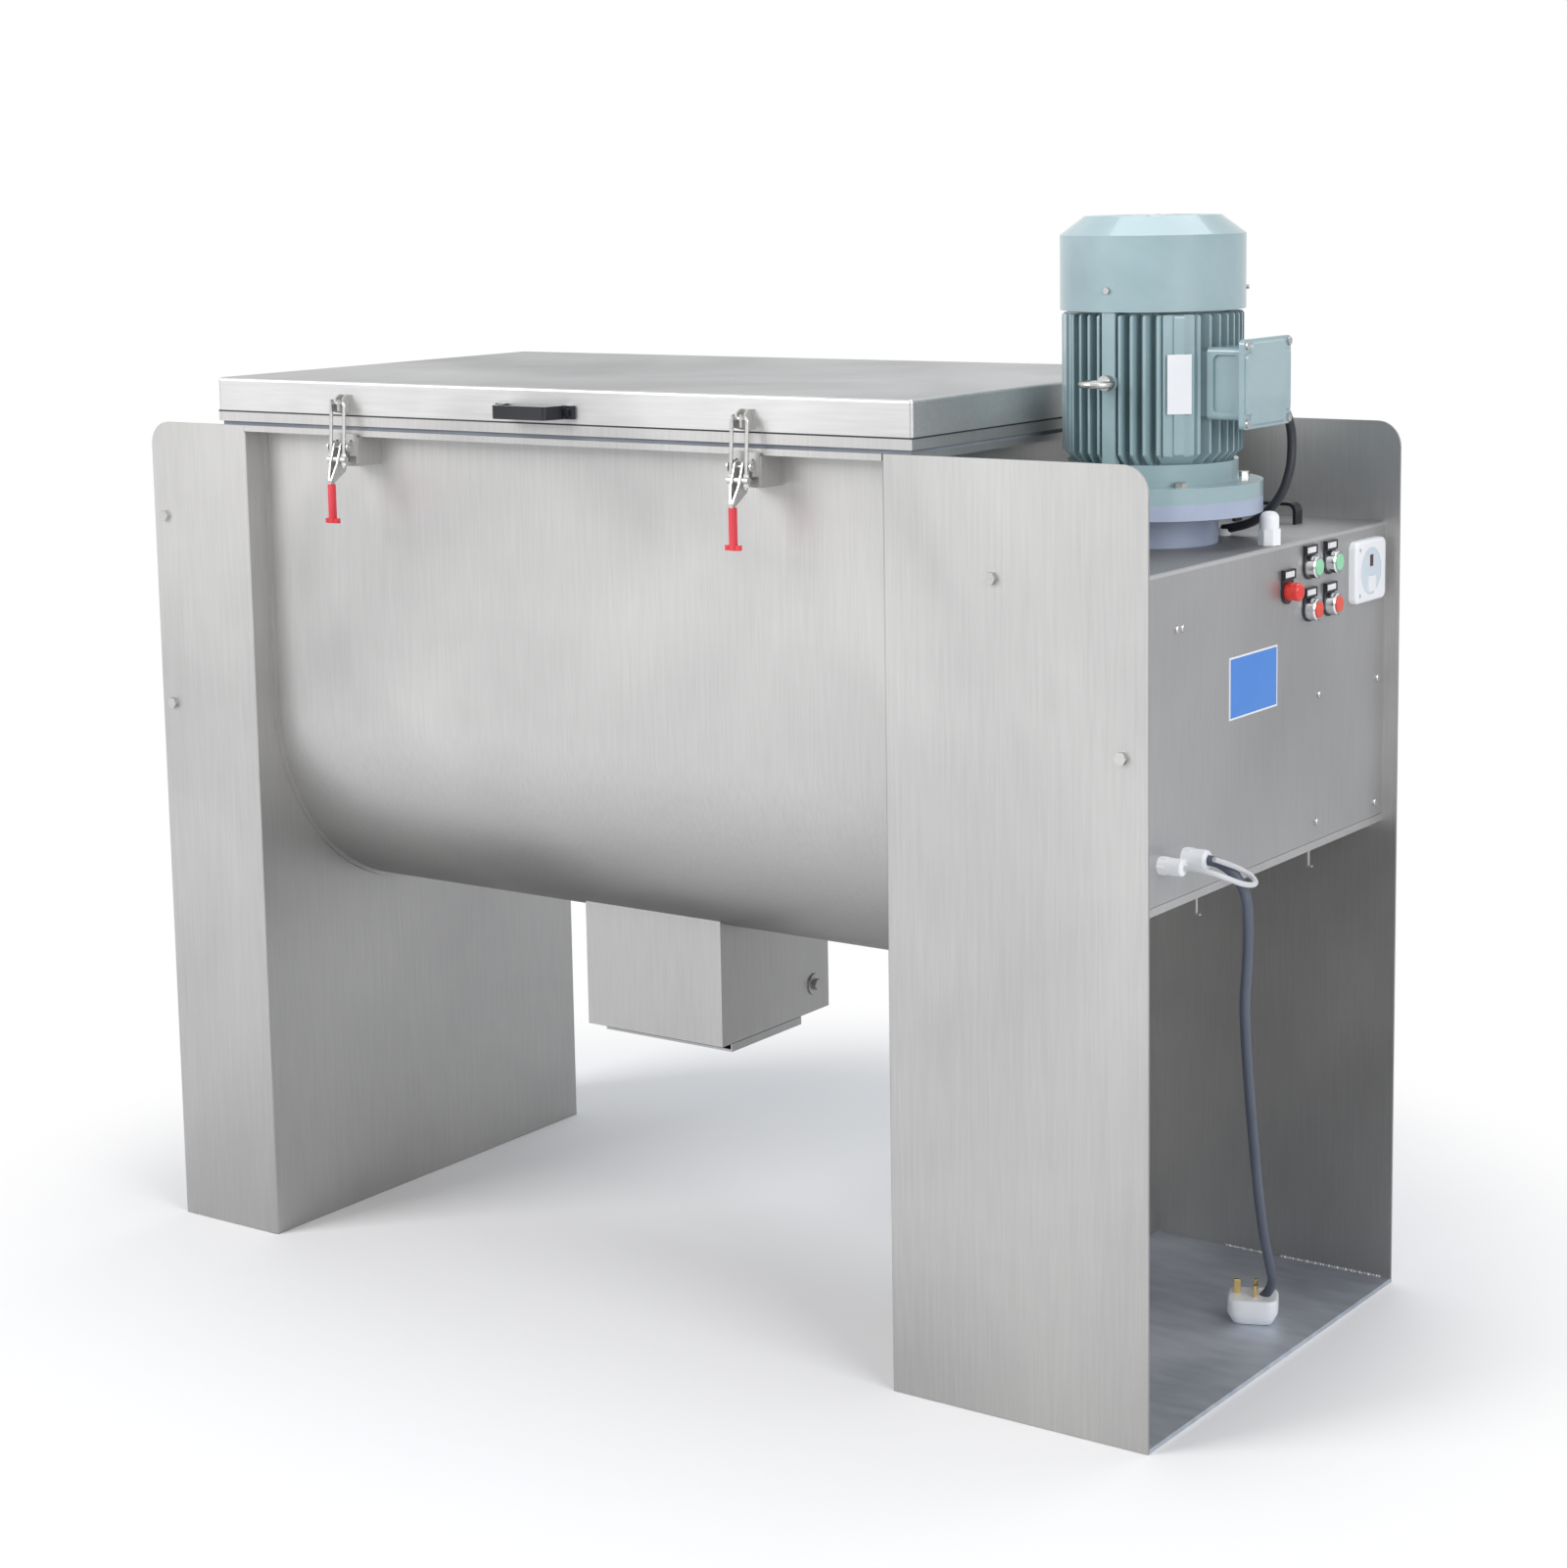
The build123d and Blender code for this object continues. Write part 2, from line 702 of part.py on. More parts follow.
# Latch brackets on the trough's front wall, and the bases with the pivot pins
bracket_front = front - bracket_out
pivot_y = bracket_front - latch_base_sheet - latch_pivot_reach
rod_y = pivot_y - hook_pivot_out
rod_z = latch_pivot_height - hook_pivot_drop
bracket_top = stand_height - rim_lip - 0.4
bracket_reach = trough_plane - trough_radius - bracket_front
with BuildPart() as latch_brackets:
    for x in latch_places:
        with BuildSketch(level(bracket_top - bracket_height, x, bracket_front + bracket_reach / 2)):
            Rectangle(bracket_width, bracket_reach)
            with Locations((0, bracket_sheet)):
                Rectangle(bracket_width - 2 * bracket_sheet, bracket_reach, mode=Mode.SUBTRACT)
        extrude(amount=bracket_height)
latch_brackets.part.label = "latch_brackets"
export_step(latch_brackets.part, "parts/latch_brackets.step")

base_hole_x = 11.5
base_hole_z = 9.0
with BuildPart() as latch_bases:
    for x in latch_places:
        with BuildSketch(facing_front(x, bracket_front, latch_pivot_height - 3)):
            RectangleRounded(ear_span * 2 + 4, latch_base_height, 3)
            with GridLocations(2 * base_hole_x, 2 * base_hole_z, 2, 2):
                Circle(screw_radius, mode=Mode.SUBTRACT)
        extrude(amount=latch_base_sheet)
        for side in (-1, 1):
            ear_x = x + side * (ear_span - ear_sheet / 2)
            with BuildSketch(square_to_x(ear_x, pivot_y, latch_pivot_height)):
                Circle(6)
                with Locations((latch_pivot_reach / 2, -2)):
                    Rectangle(latch_pivot_reach, 18)
            extrude(amount=ear_sheet / 2, both=True)
        with BuildSketch(square_to_x(x, pivot_y, latch_pivot_height)):
            Circle(pivot_radius)
        extrude(amount=ear_span + 1, both=True)
latch_bases.part.label = "latch_bases"
export_step(latch_bases.part, "parts/latch_bases.step")


# Toggle lever: two cheeks that run together into a tongue, with a rubber grip on the tongue
def make_lever(x):
    tip = lever_tip_height - latch_pivot_height
    shoulder = grip_top_height - latch_pivot_height + 1
    tongue_front = -grip_out - tongue_depth / 2
    with BuildPart() as lever:
        with BuildSketch(square_to_x(x, pivot_y, latch_pivot_height)):
            Circle(6.5)
            with Locations((-hook_pivot_out, -hook_pivot_drop)):
                Circle(6)
            with BuildLine():
                Polyline(
                    (4.5, 4.5),
                    (-5.0, 4.5),
                    (-hook_pivot_out - 6, -hook_pivot_drop),
                    (tongue_front, shoulder + 4),
                    (tongue_front, tip),
                    (tongue_front + tongue_depth, tip),
                    (tongue_front + tongue_depth, shoulder),
                    (4.0, shoulder + 14),
                    (5.0, -hook_pivot_drop),
                    (5.0, -4.5),
                    close=True,
                )
            make_face()
            Circle(pivot_radius + running_gap, mode=Mode.SUBTRACT)
            with Locations((-hook_pivot_out, -hook_pivot_drop)):
                Circle(cross_rod_radius + running_gap, mode=Mode.SUBTRACT)
        extrude(amount=cheek_gap / 2 + cheek, both=True)
        with BuildSketch(facing_front(x, pivot_y, latch_pivot_height)):
            with BuildLine():
                Polyline(
                    (-cheek_gap / 2 - cheek, 8),
                    (-cheek_gap / 2 - cheek, -20),
                    (-cheek, -44),
                    (-cheek, tip),
                    (cheek, tip),
                    (cheek, -44),
                    (cheek_gap / 2 + cheek, -20),
                    (cheek_gap / 2 + cheek, 8),
                    (cheek_gap / 2, 8),
                    (cheek_gap / 2, -20),
                    (0, -41),
                    (-cheek_gap / 2, -20),
                    (-cheek_gap / 2, 8),
                    close=True,
                )
            make_face()
        extrude(amount=40, both=True, mode=Mode.INTERSECT)
    return lever


def make_grip(x):
    middle_y = pivot_y - grip_out
    with BuildPart() as grip:
        with BuildSketch(level(grip_bottom_height, x, middle_y)):
            RectangleRounded(grip_width, grip_depth, 3.5)
        extrude(amount=grip_top_height - grip_bottom_height)
        with BuildSketch(level(grip_bottom_height, x, middle_y)):
            Rectangle(2 * grip_tail_spread, 5)
            with Locations((-grip_tail_spread, 0), (grip_tail_spread, 0)):
                Circle(4)
        extrude(amount=6)
        with BuildSketch(level(lever_tip_height, x, middle_y)):
            Rectangle(2 * cheek, tongue_depth)
        extrude(amount=grip_top_height - lever_tip_height, mode=Mode.SUBTRACT)
    return grip


# Latch hook: a square-cornered bow of round wire, with nuts on both sides of its cross rod
hook_lean = Vector(0, bar_y - rod_y, hook_bar_height - rod_z)
hook_length = hook_lean.length


def make_hook(x):
    half = hook_leg_spacing / 2
    along = Plane(
        origin=(x, rod_y, rod_z),
        x_dir=(1, 0, 0),
        z_dir=(0, -hook_lean.Z, hook_lean.Y),
    )
    with BuildPart() as hook:
        with BuildLine(along) as wire:
            FilletPolyline(
                (-half, -10), (-half, hook_length), (half, hook_length), (half, -10), radius=3.6
            )
        with BuildSketch(Plane(origin=wire.line @ 0, z_dir=wire.line % 0)):
            Circle(hook_leg_radius)
        sweep(path=wire.line)
        with BuildSketch(square_to_x(x, rod_y, rod_z)):
            Circle(cross_rod_radius)
        extrude(amount=half + 4, both=True)
        for shift in (-7.2, 3.4):
            nut_face = along.from_local_coords((0, shift, 0))
            with BuildSketch(Plane(origin=nut_face, x_dir=(1, 0, 0), z_dir=hook_lean)):
                with Locations((-half, 0), (half, 0)):
                    RegularPolygon(3.4, 6)
            extrude(amount=3.8)
    return hook


left_latch_lever = make_lever(latch_places[0])
left_latch_lever.part.label = "left_latch_lever"
export_step(left_latch_lever.part, "parts/left_latch_lever.step")

right_latch_lever = make_lever(latch_places[1])
right_latch_lever.part.label = "right_latch_lever"
export_step(right_latch_lever.part, "parts/right_latch_lever.step")

left_latch_grip = make_grip(latch_places[0])
left_latch_grip.part.label = "left_latch_grip"
export_step(left_latch_grip.part, "parts/left_latch_grip.step")

right_latch_grip = make_grip(latch_places[1])
right_latch_grip.part.label = "right_latch_grip"
export_step(right_latch_grip.part, "parts/right_latch_grip.step")

left_latch_hook = make_hook(latch_places[0])
left_latch_hook.part.label = "left_latch_hook"
export_step(left_latch_hook.part, "parts/left_latch_hook.step")

right_latch_hook = make_hook(latch_places[1])
right_latch_hook.part.label = "right_latch_hook"
export_step(right_latch_hook.part, "parts/right_latch_hook.step")

# Discharge: a guard box under the trough, and the spout inside it that the gate closes
gate_axis_y = trough_plane + gate_pivot_y
spout_y = trough_plane + (spout_back - spout_front) / 2
with BuildPart() as discharge_chute:
    with BuildSketch(level(chute_bottom, trough_middle)):
        Rectangle(chute_length, chute_depth)
        Rectangle(chute_length - 2 * sheet, chute_depth - 2 * sheet, mode=Mode.SUBTRACT)
    extrude(amount=shaft_height - chute_bottom - trough_radius / 2)
    with BuildSketch(across(left_web)):
        Circle(trough_radius)
    extrude(amount=trough_length, mode=Mode.SUBTRACT)
    with BuildSketch(Plane(origin=(trough_middle, gate_axis_y, gate_pivot_z), z_dir=(1, 0, 0))):
        Circle(gate_pin_radius + running_gap)
    extrude(amount=chute_length, both=True, mode=Mode.SUBTRACT)
    with BuildPart(mode=Mode.PRIVATE) as spout:
        with BuildSketch(level(spout_bottom, trough_middle, spout_y)):
            Rectangle(spout_length, spout_front + spout_back)
            Rectangle(spout_length - 2 * sheet, spout_front + spout_back - 2 * sheet, mode=Mode.SUBTRACT)
        extrude(amount=shaft_height - spout_bottom)
        with BuildSketch(across(left_web)):
            Circle(inner_radius)
        extrude(amount=trough_length, mode=Mode.SUBTRACT)
    add(spout.part)
discharge_chute.part.label = "discharge_chute"
export_step(discharge_chute.part, "parts/discharge_chute.step")

# Gate: a lipped plate under the spout on two swinging ears and a cross shaft
gate_left = trough_middle - chute_length / 2 + gate_left_inset
gate_right = trough_middle + chute_length / 2
gate_bottom = gate_top - gate_thickness
gate_length = gate_right - gate_left
gate_depth = gate_front + gate_back
gate_y = trough_plane + (gate_back - gate_front) / 2
ear_drop = gate_top - gate_pivot_z
with BuildPart() as discharge_gate:
    with BuildSketch(level(gate_bottom, (gate_left + gate_right) / 2, gate_y)):
        Rectangle(gate_length, gate_depth)
    extrude(amount=gate_thickness + gate_lip)
    with BuildSketch(level(gate_top, (gate_left + gate_right) / 2, gate_y + 1)):
        Rectangle(gate_length - 4, gate_depth + 2)
    extrude(amount=gate_lip, mode=Mode.SUBTRACT)
    for side in (-1, 1):
        ear_x = trough_middle + side * (spout_length / 2 + 8)
        with BuildSketch(square_to_x(ear_x, gate_axis_y, gate_pivot_z)):
            Circle(12)
            with BuildLine():
                Polyline((-6, 10.3), (-150, ear_drop), (-55, ear_drop), (-6, -10.3), close=True)
            make_face()
        extrude(amount=gate_ear / 2, both=True)
        with BuildSketch(
            Plane(
                origin=(trough_middle + side * (chute_length / 2 + 0.1), gate_axis_y, gate_pivot_z),
                x_dir=(0, 1, 0),
                z_dir=(side, 0, 0),
            )
        ):
            Circle(14)
        extrude(amount=2)
        with BuildSketch(
            Plane(
                origin=(trough_middle + side * (chute_length / 2 + 2.1), gate_axis_y, gate_pivot_z),
                x_dir=(0, 1, 0),
                z_dir=(side, 0, 0),
            )
        ):
            RegularPolygon(bolt_head_radius, 6)
        extrude(amount=bolt_head_height)
    with BuildSketch(Plane(origin=(trough_middle, gate_axis_y, gate_pivot_z), z_dir=(1, 0, 0))):
        Circle(gate_pin_radius)
    extrude(amount=chute_length / 2 + 1, both=True)
discharge_gate.part.label = "discharge_gate"
export_step(discharge_gate.part, "parts/discharge_gate.step")

# Drive housing: folded cover, thick motor plate below its top, tray below
cover_inner_x = right_web + sheet
cover_length = cover_face - cover_inner_x
cover_middle = (cover_face + cover_inner_x) / 2
cover_depth = depth - 2 * sheet
with BuildPart() as housing_cover:
    with BuildSketch(level(cover_bottom, cover_middle)):
        Rectangle(cover_length, cover_depth)
    extrude(amount=cover_top - cover_bottom)
    fillet(housing_cover.edges().filter_by(Axis.Y).group_by(Axis.Z)[-1].sort_by(Axis.X)[-1], radius=5)
    with BuildSketch(level(cover_bottom, cover_middle - cover_sheet / 2)):
        Rectangle(cover_length - cover_sheet, cover_depth - 2 * cover_sheet)
    extrude(amount=cover_top - cover_sheet - cover_bottom, mode=Mode.SUBTRACT)
    with BuildSketch(level(cover_bottom, cover_middle - cover_fold / 2)):
        Rectangle(cover_length - cover_fold, cover_depth)
    extrude(amount=cover_top - cover_fold - cover_bottom, mode=Mode.SUBTRACT)
    with BuildSketch(level(cover_top, motor_x)):
        Circle(neck_radius + 0.5)
    extrude(amount=-cover_sheet, mode=Mode.SUBTRACT)
    for x, z in flange_bolts["right"]:
        with BuildSketch(facing_front(x, front, z)):
            Circle(bolt_radius)
        extrude(amount=-depth, mode=Mode.SUBTRACT)
housing_cover.part.label = "housing_cover"
export_step(housing_cover.part, "parts/housing_cover.step")

with BuildPart() as motor_plate:
    with BuildSketch(level(motor_plate_bottom, cover_middle - cover_sheet / 2)):
        Rectangle(cover_length - cover_sheet, cover_depth - 2 * cover_sheet)
        with Locations((motor_x - cover_middle + cover_sheet / 2, 0)):
            Circle(neck_radius, mode=Mode.SUBTRACT)
    extrude(amount=motor_plate_thickness)
    x, z = flange_bolts["right"][0]
    with BuildSketch(facing_front(x, front, z)):
        Circle(bolt_radius)
    extrude(amount=-depth, mode=Mode.SUBTRACT)
motor_plate.part.label = "motor_plate"
export_step(motor_plate.part, "parts/motor_plate.step")

tray_top = cover_bottom - 0.5
notch_left, notch_right = tray_notch
hook_bottom = tray_top - tray_lip - tray_hook_drop
with BuildPart() as housing_tray:
    with BuildSketch(level(tray_top - cover_sheet, cover_middle)):
        Rectangle(cover_length, cover_depth)
    extrude(amount=cover_sheet)
    with BuildSketch(level(tray_top - tray_lip, cover_face - cover_sheet / 2)):
        Rectangle(cover_sheet, cover_depth)
        with Locations((0, (notch_left + notch_right) / 2)):
            Rectangle(cover_sheet, notch_right - notch_left, mode=Mode.SUBTRACT)
    extrude(amount=tray_lip)
    with BuildSketch(level(tray_top - tray_rail_height - cover_sheet, cover_face - tray_rail_inset)):
        Rectangle(cover_sheet, cover_depth)
    extrude(amount=tray_rail_height)
    for y in tray_hooks:
        with BuildSketch(level(hook_bottom, cover_face - cover_sheet / 2, trough_plane + y)):
            Rectangle(cover_sheet, 4)
        extrude(amount=tray_lip + tray_hook_drop)
        with BuildSketch(level(hook_bottom, cover_face + 1, trough_plane + y)):
            Rectangle(6, 4)
        extrude(amount=2)
housing_tray.part.label = "housing_tray"
export_step(housing_tray.part, "parts/housing_tray.step")

# Reducer: its body under the motor plate takes the shaft's end, its neck carries the motor's flange
with BuildPart() as gearbox_housing:
    with BuildSketch(level(reducer_bottom, (reducer_front + reducer_back) / 2)):
        RectangleRounded(reducer_back - reducer_front, reducer_width, 12)
    extrude(amount=motor_plate_bottom - reducer_bottom)
    with BuildSketch(across(reducer_front)):
        Circle(reducer_hub_radius)
    extrude(amount=-reducer_hub_length)
    with BuildSketch(level(motor_plate_bottom, motor_x)):
        Circle(neck_radius)
    extrude(amount=flange_bottom - motor_plate_bottom)
    with BuildSketch(level(flange_bottom, motor_x)):
        Circle(flange_radius)
        with PolarLocations(flange_bolt_circle, 4, start_angle=45):
            Circle(bolt_radius, mode=Mode.SUBTRACT)
    extrude(amount=flange_thickness)
    with BuildSketch(across(reducer_front - reducer_hub_length)):
        Circle(shaft_radius + running_gap)
    extrude(amount=shaft_end - reducer_front + reducer_hub_length + 2, mode=Mode.SUBTRACT)
    with BuildSketch(level(flange_joint, motor_x)):
        Circle(rotor_radius + running_gap)
    extrude(amount=-rotor_depth - 2, mode=Mode.SUBTRACT)
gearbox_housing.part.label = "gearbox_housing"
export_step(gearbox_housing.part, "parts/gearbox_housing.step")

# Motor: flange and end shield, finned frame, fan with its cowl, one upright rotor shaft
with BuildPart() as motor_flange:
    with BuildSketch(level(flange_joint, motor_x)):
        Circle(flange_radius)
        with PolarLocations(flange_bolt_circle, 4, start_angle=45):
            Circle(bolt_radius, mode=Mode.SUBTRACT)
    extrude(amount=flange_thickness)
    with BuildSketch(level(flange_joint + flange_thickness, motor_x)):
        Circle(motor_shield_radius)
    extrude(amount=motor_frame_bottom - flange_joint - flange_thickness)
    with BuildSketch(level(flange_joint, motor_x)):
        Circle(rotor_radius + running_gap)
    extrude(amount=motor_frame_bottom - flange_joint, mode=Mode.SUBTRACT)
motor_flange.part.label = "motor_flange"
export_step(motor_flange.part, "parts/motor_flange.step")

fin_count = 9
fin_shifts = [fin_spacing * (n - (fin_count - 1) / 2) for n in range(fin_count)]
box_middle = (box_bottom + box_top) / 2
fin_top = cowl_bottom - 3
with BuildPart() as motor_frame:
    with BuildSketch(level(motor_frame_bottom, motor_x)):
        with Locations(*[(shift, 0) for shift in fin_shifts]):
            Rectangle(fin_thickness, 2 * motor_fin_radius)
        with Locations(*[(0, shift) for shift in fin_shifts]):
            Rectangle(2 * motor_fin_radius, fin_thickness)
        for turn in (45, -45):
            Rectangle(lobe_width, 2 * motor_fin_radius - 5, rotation=turn)
            Rectangle(lobe_ridge, 2 * motor_fin_radius, rotation=turn)
        Circle(motor_fin_radius, mode=Mode.INTERSECT)
    extrude(amount=fin_top - motor_frame_bottom)
    with BuildSketch(Plane(origin=(motor_x, trough_plane, 0), x_dir=(1, 0, 0), z_dir=(0, -1, 0))):
        with BuildLine():
            Polyline(
                (motor_fin_radius - fin_round, fin_top),
                (0, fin_top),
                (0, motor_frame_bottom),
                (motor_fin_radius - fin_taper, motor_frame_bottom),
                (motor_fin_radius, motor_frame_bottom + fin_taper),
                (motor_fin_radius, fin_top - fin_round),
            )
            JernArc((motor_fin_radius, fin_top - fin_round), (0, 1), fin_round, 90)
        make_face()
    revolve(axis=motor_axis, mode=Mode.INTERSECT)
    with BuildSketch(level(motor_frame_bottom, motor_x)):
        with Locations((0, -motor_fin_radius / 2)):
            Rectangle(rib_width, motor_fin_radius)
        Circle(motor_core_radius)
    extrude(amount=motor_frame_top - motor_frame_bottom)
    with BuildSketch(facing_front(motor_x, trough_plane, eye_height)):
        Circle(eye_collar_radius + 2)
    extrude(amount=motor_fin_radius)
    with BuildSketch(level(cowl_bottom, motor_x)):
        Circle(cowl_radius - cowl_sheet)
    extrude(amount=motor_frame_top - cowl_bottom)
    with BuildSketch(facing_right(0, box_middle, motor_x)):
        Rectangle(2 * box_half_width - 4, box_top - box_bottom - 8)
    extrude(amount=box_inner - motor_x)
    with BuildSketch(facing_right(0, box_middle, box_inner)):
        Rectangle(2 * box_half_width, box_top - box_bottom)
    extrude(amount=motor_fin_radius, mode=Mode.SUBTRACT)
    with BuildSketch(level(motor_frame_bottom, motor_x)):
        Circle(rotor_radius + running_gap)
    extrude(amount=motor_frame_top - motor_frame_bottom, mode=Mode.SUBTRACT)
motor_frame.part.label = "motor_frame"
export_step(motor_frame.part, "parts/motor_frame.step")

with BuildPart() as fan_cowl:
    with BuildSketch(Plane(origin=(motor_x, trough_plane, 0), x_dir=(1, 0, 0), z_dir=(0, -1, 0))):
        with BuildLine():
            Polyline(
                (cowl_radius - cowl_sheet, cowl_bottom),
                (cowl_radius, cowl_bottom),
                (cowl_radius, cowl_shoulder),
                (cowl_top_radius, cowl_top),
                (0, cowl_top),
                (0, cowl_top - cowl_sheet),
                (cowl_top_radius - 1, cowl_top - cowl_sheet),
                (cowl_radius - cowl_sheet, cowl_shoulder - 1),
                close=True,
            )
        make_face()
    revolve(axis=motor_axis)
    with BuildSketch(level(cowl_top, motor_x)):
        with PolarLocations(cowl_top_radius * 0.62, 16):
            SlotOverall(cowl_top_radius * 0.6, 6)
    extrude(amount=-cowl_sheet, mode=Mode.SUBTRACT)
fan_cowl.part.label = "fan_cowl"
export_step(fan_cowl.part, "parts/fan_cowl.step")

with BuildPart() as rotor_shaft:
    with BuildSketch(level(flange_joint - rotor_depth, motor_x)):
        Circle(rotor_radius)
    extrude(amount=cowl_shoulder - 10 - flange_joint + rotor_depth)
rotor_shaft.part.label = "rotor_shaft"
export_step(rotor_shaft.part, "parts/rotor_shaft.step")

with BuildPart() as cooling_fan:
    with BuildSketch(level(motor_frame_top + fan_lift, motor_x)):
        Circle(fan_radius)
        Circle(rotor_radius, mode=Mode.SUBTRACT)
    extrude(amount=fan_sheet)
    with BuildSketch(level(motor_frame_top + fan_lift, motor_x)):
        with PolarLocations((fan_radius + rotor_radius) / 2, 8):
            Rectangle(fan_radius - rotor_radius, fan_sheet)
        Circle(fan_hub_radius)
        Circle(rotor_radius, mode=Mode.SUBTRACT)
    extrude(amount=fan_height)
cooling_fan.part.label = "cooling_fan"
export_step(cooling_fan.part, "parts/cooling_fan.step")

# Terminal box on the frame's flat pad
with BuildPart() as terminal_box:
    with BuildSketch(facing_right(0, box_middle, box_inner)):
        RectangleRounded(2 * box_half_width, box_top - box_bottom, 5)
    extrude(amount=box_depth)
    with BuildSketch(facing_front(box_inner + box_depth / 2 + 1, trough_plane - box_half_width, box_middle)):
        RectangleRounded(box_depth - 12, box_top - box_bottom - 16, 7)
    extrude(amount=-box_recess, mode=Mode.SUBTRACT)
terminal_box.part.label = "terminal_box"
export_step(terminal_box.part, "parts/terminal_box.step")

cover_width = 2 * (box_half_width + cover_margin)
cover_height = box_top - box_bottom + 2 * cover_margin
with BuildPart() as terminal_cover:
    with BuildSketch(facing_right(0, box_middle, box_outer)):
        RectangleRounded(cover_width, cover_height, 6)
    extrude(amount=box_cover_thickness - cover_step)
    with BuildSketch(facing_right(0, box_middle, box_cover - cover_step)):
        RectangleRounded(cover_width - 6, cover_height - 30, 6)
        RectangleRounded(cover_width - 30, cover_height - 6, 6)
    extrude(amount=cover_step)
    chamfer(terminal_cover.faces().sort_by(Axis.X)[-1].outer_wire().edges(), length=cover_step * 0.8)
terminal_cover.part.label = "terminal_cover"
export_step(terminal_cover.part, "parts/terminal_cover.step")

# Fasteners: stand bolts and panel screws, motor flange bolts and eye bolt
panel_screws = (
    (-215.0, 886.0),
    (-203.0, 886.0),
    (132.0, 765.0),
    (292.0, 762.0),
    (128.0, 615.0),
    (288.0, 610.0),
)
with BuildPart() as steel_bolts:
    for places in flange_bolts.values():
        for x, z in places:
            for side in (-1, 1):
                flange_y = trough_plane + side * depth / 2
                face = Plane(origin=(x, flange_y, z), x_dir=(1, 0, 0), z_dir=(0, side, 0))
                with BuildSketch(face):
                    RegularPolygon(bolt_head_radius, 6)
                extrude(amount=bolt_head_height)
                with BuildSketch(face):
                    Circle(bolt_radius)
                extrude(amount=-sheet - cover_sheet)
    with BuildSketch(facing_right(0, 0)):
        with Locations(*panel_screws):
            Circle(screw_head_radius)
    extrude(amount=screw_head_height)
    chamfer(steel_bolts.faces(Select.LAST).filter_by(Plane.YZ).edges().group_by(Axis.X)[-1], length=1)
steel_bolts.part.label = "steel_bolts"
export_step(steel_bolts.part, "parts/steel_bolts.step")

eye_y = trough_plane - motor_fin_radius
ring_y = eye_y - eye_collar_length - eye_ring_radius
with BuildPart() as motor_bolts:
    with BuildSketch(level(flange_joint + flange_thickness, motor_x)):
        with PolarLocations(flange_bolt_circle, 4, start_angle=45):
            RegularPolygon(bolt_head_radius, 6)
    extrude(amount=bolt_head_height)
    with BuildSketch(level(flange_bottom, motor_x)):
        with PolarLocations(flange_bolt_circle, 4, start_angle=45):
            Circle(bolt_radius)
    extrude(amount=2 * flange_thickness)
    with BuildSketch(facing_front(motor_x, eye_y, eye_height)):
        Circle(eye_collar_radius)
    extrude(amount=eye_collar_length)
    with BuildSketch(square_to_x(motor_x, ring_y, eye_height)):
        with Locations((eye_ring_radius, 0)):
            Circle(eye_wire_radius)
    revolve(axis=Axis((motor_x, ring_y, eye_height), (0, 0, 1)))
    with BuildSketch(facing_right(0, box_middle, box_cover - cover_step)):
        with GridLocations(cover_width - 2 * cover_screw_inset, cover_height - 2 * cover_screw_inset, 2, 2):
            Circle(screw_head_radius)
    extrude(amount=screw_head_height)
    for turn in (-90, 30, 150):
        out = Vector(cos(radians(turn)), sin(radians(turn)), 0)
        origin = Vector(motor_x, trough_plane, cowl_screw_height) + out * cowl_radius
        with BuildSketch(Plane(origin=origin, z_dir=out)):
            Circle(screw_head_radius - 1)
        extrude(amount=screw_head_height)
motor_bolts.part.label = "motor_bolts"
export_step(motor_bolts.part, "parts/motor_bolts.step")

# Small bow handle on top of the housing
with BuildPart() as top_handle:
    with BuildSketch(facing_front(motor_x + top_handle_out, trough_plane + top_handle_y, cover_top)):
        with BuildLine():
            FilletPolyline(
                (0, 0),
                (0, top_handle_height - top_handle_bar / 2),
                (-top_handle_length, top_handle_height - top_handle_bar / 2),
                (-top_handle_length, 0),
                radius=9,
            )
        trace(line_width=top_handle_bar)
        with Locations((-top_handle_length / 2, top_handle_height / 2)):
            Rectangle(top_handle_length + 10, top_handle_height, mode=Mode.INTERSECT)
    extrude(amount=top_handle_width / 2, both=True)
top_handle.part.label = "top_handle"
export_step(top_handle.part, "parts/top_handle.step")

# Bare plate, pilot lamp, buttons, their label holders and the timer on the housing's front
with BuildPart() as blank_plate:
    with BuildSketch(facing_right(*plate_place)):
        Rectangle(*plate_size)
    extrude(amount=1)
blank_plate.part.label = "blank_plate"
export_step(blank_plate.part, "parts/blank_plate.step")

button_places = [(y, z) for z in button_rows for y in button_columns]
with BuildPart() as legend_holders:
    for y, z in button_places + [lamp_place]:
        with BuildSketch(facing_right(y, z)):
            Circle(legend_width / 2 + 1)
            with Locations((0, (legend_height - legend_width) / 2)):
                Rectangle(legend_width, legend_width)
            if (y, z) != lamp_place:
                Circle(button_bezel_radius, mode=Mode.SUBTRACT)
        extrude(amount=2)
        with BuildSketch(facing_right(y, z + legend_height / 2 - 5.7, cover_face + 2)):
            Rectangle(legend_width, 11.4)
        extrude(amount=3)
        with BuildSketch(facing_right(y, z + legend_height / 2 - 5.7, cover_face + 5)):
            Rectangle(legend_width - 4, 8)
        extrude(amount=-1, mode=Mode.SUBTRACT)
legend_holders.part.label = "legend_holders"
export_step(legend_holders.part, "parts/legend_holders.step")

with BuildPart() as pilot_lamp:
    with BuildSketch(facing_right(*lamp_place, cover_face + 2)):
        Circle(lamp_radius)
    extrude(amount=lamp_depth)
    fillet(pilot_lamp.faces().sort_by(Axis.X)[-1].edges(), radius=4)
pilot_lamp.part.label = "pilot_lamp"
export_step(pilot_lamp.part, "parts/pilot_lamp.step")

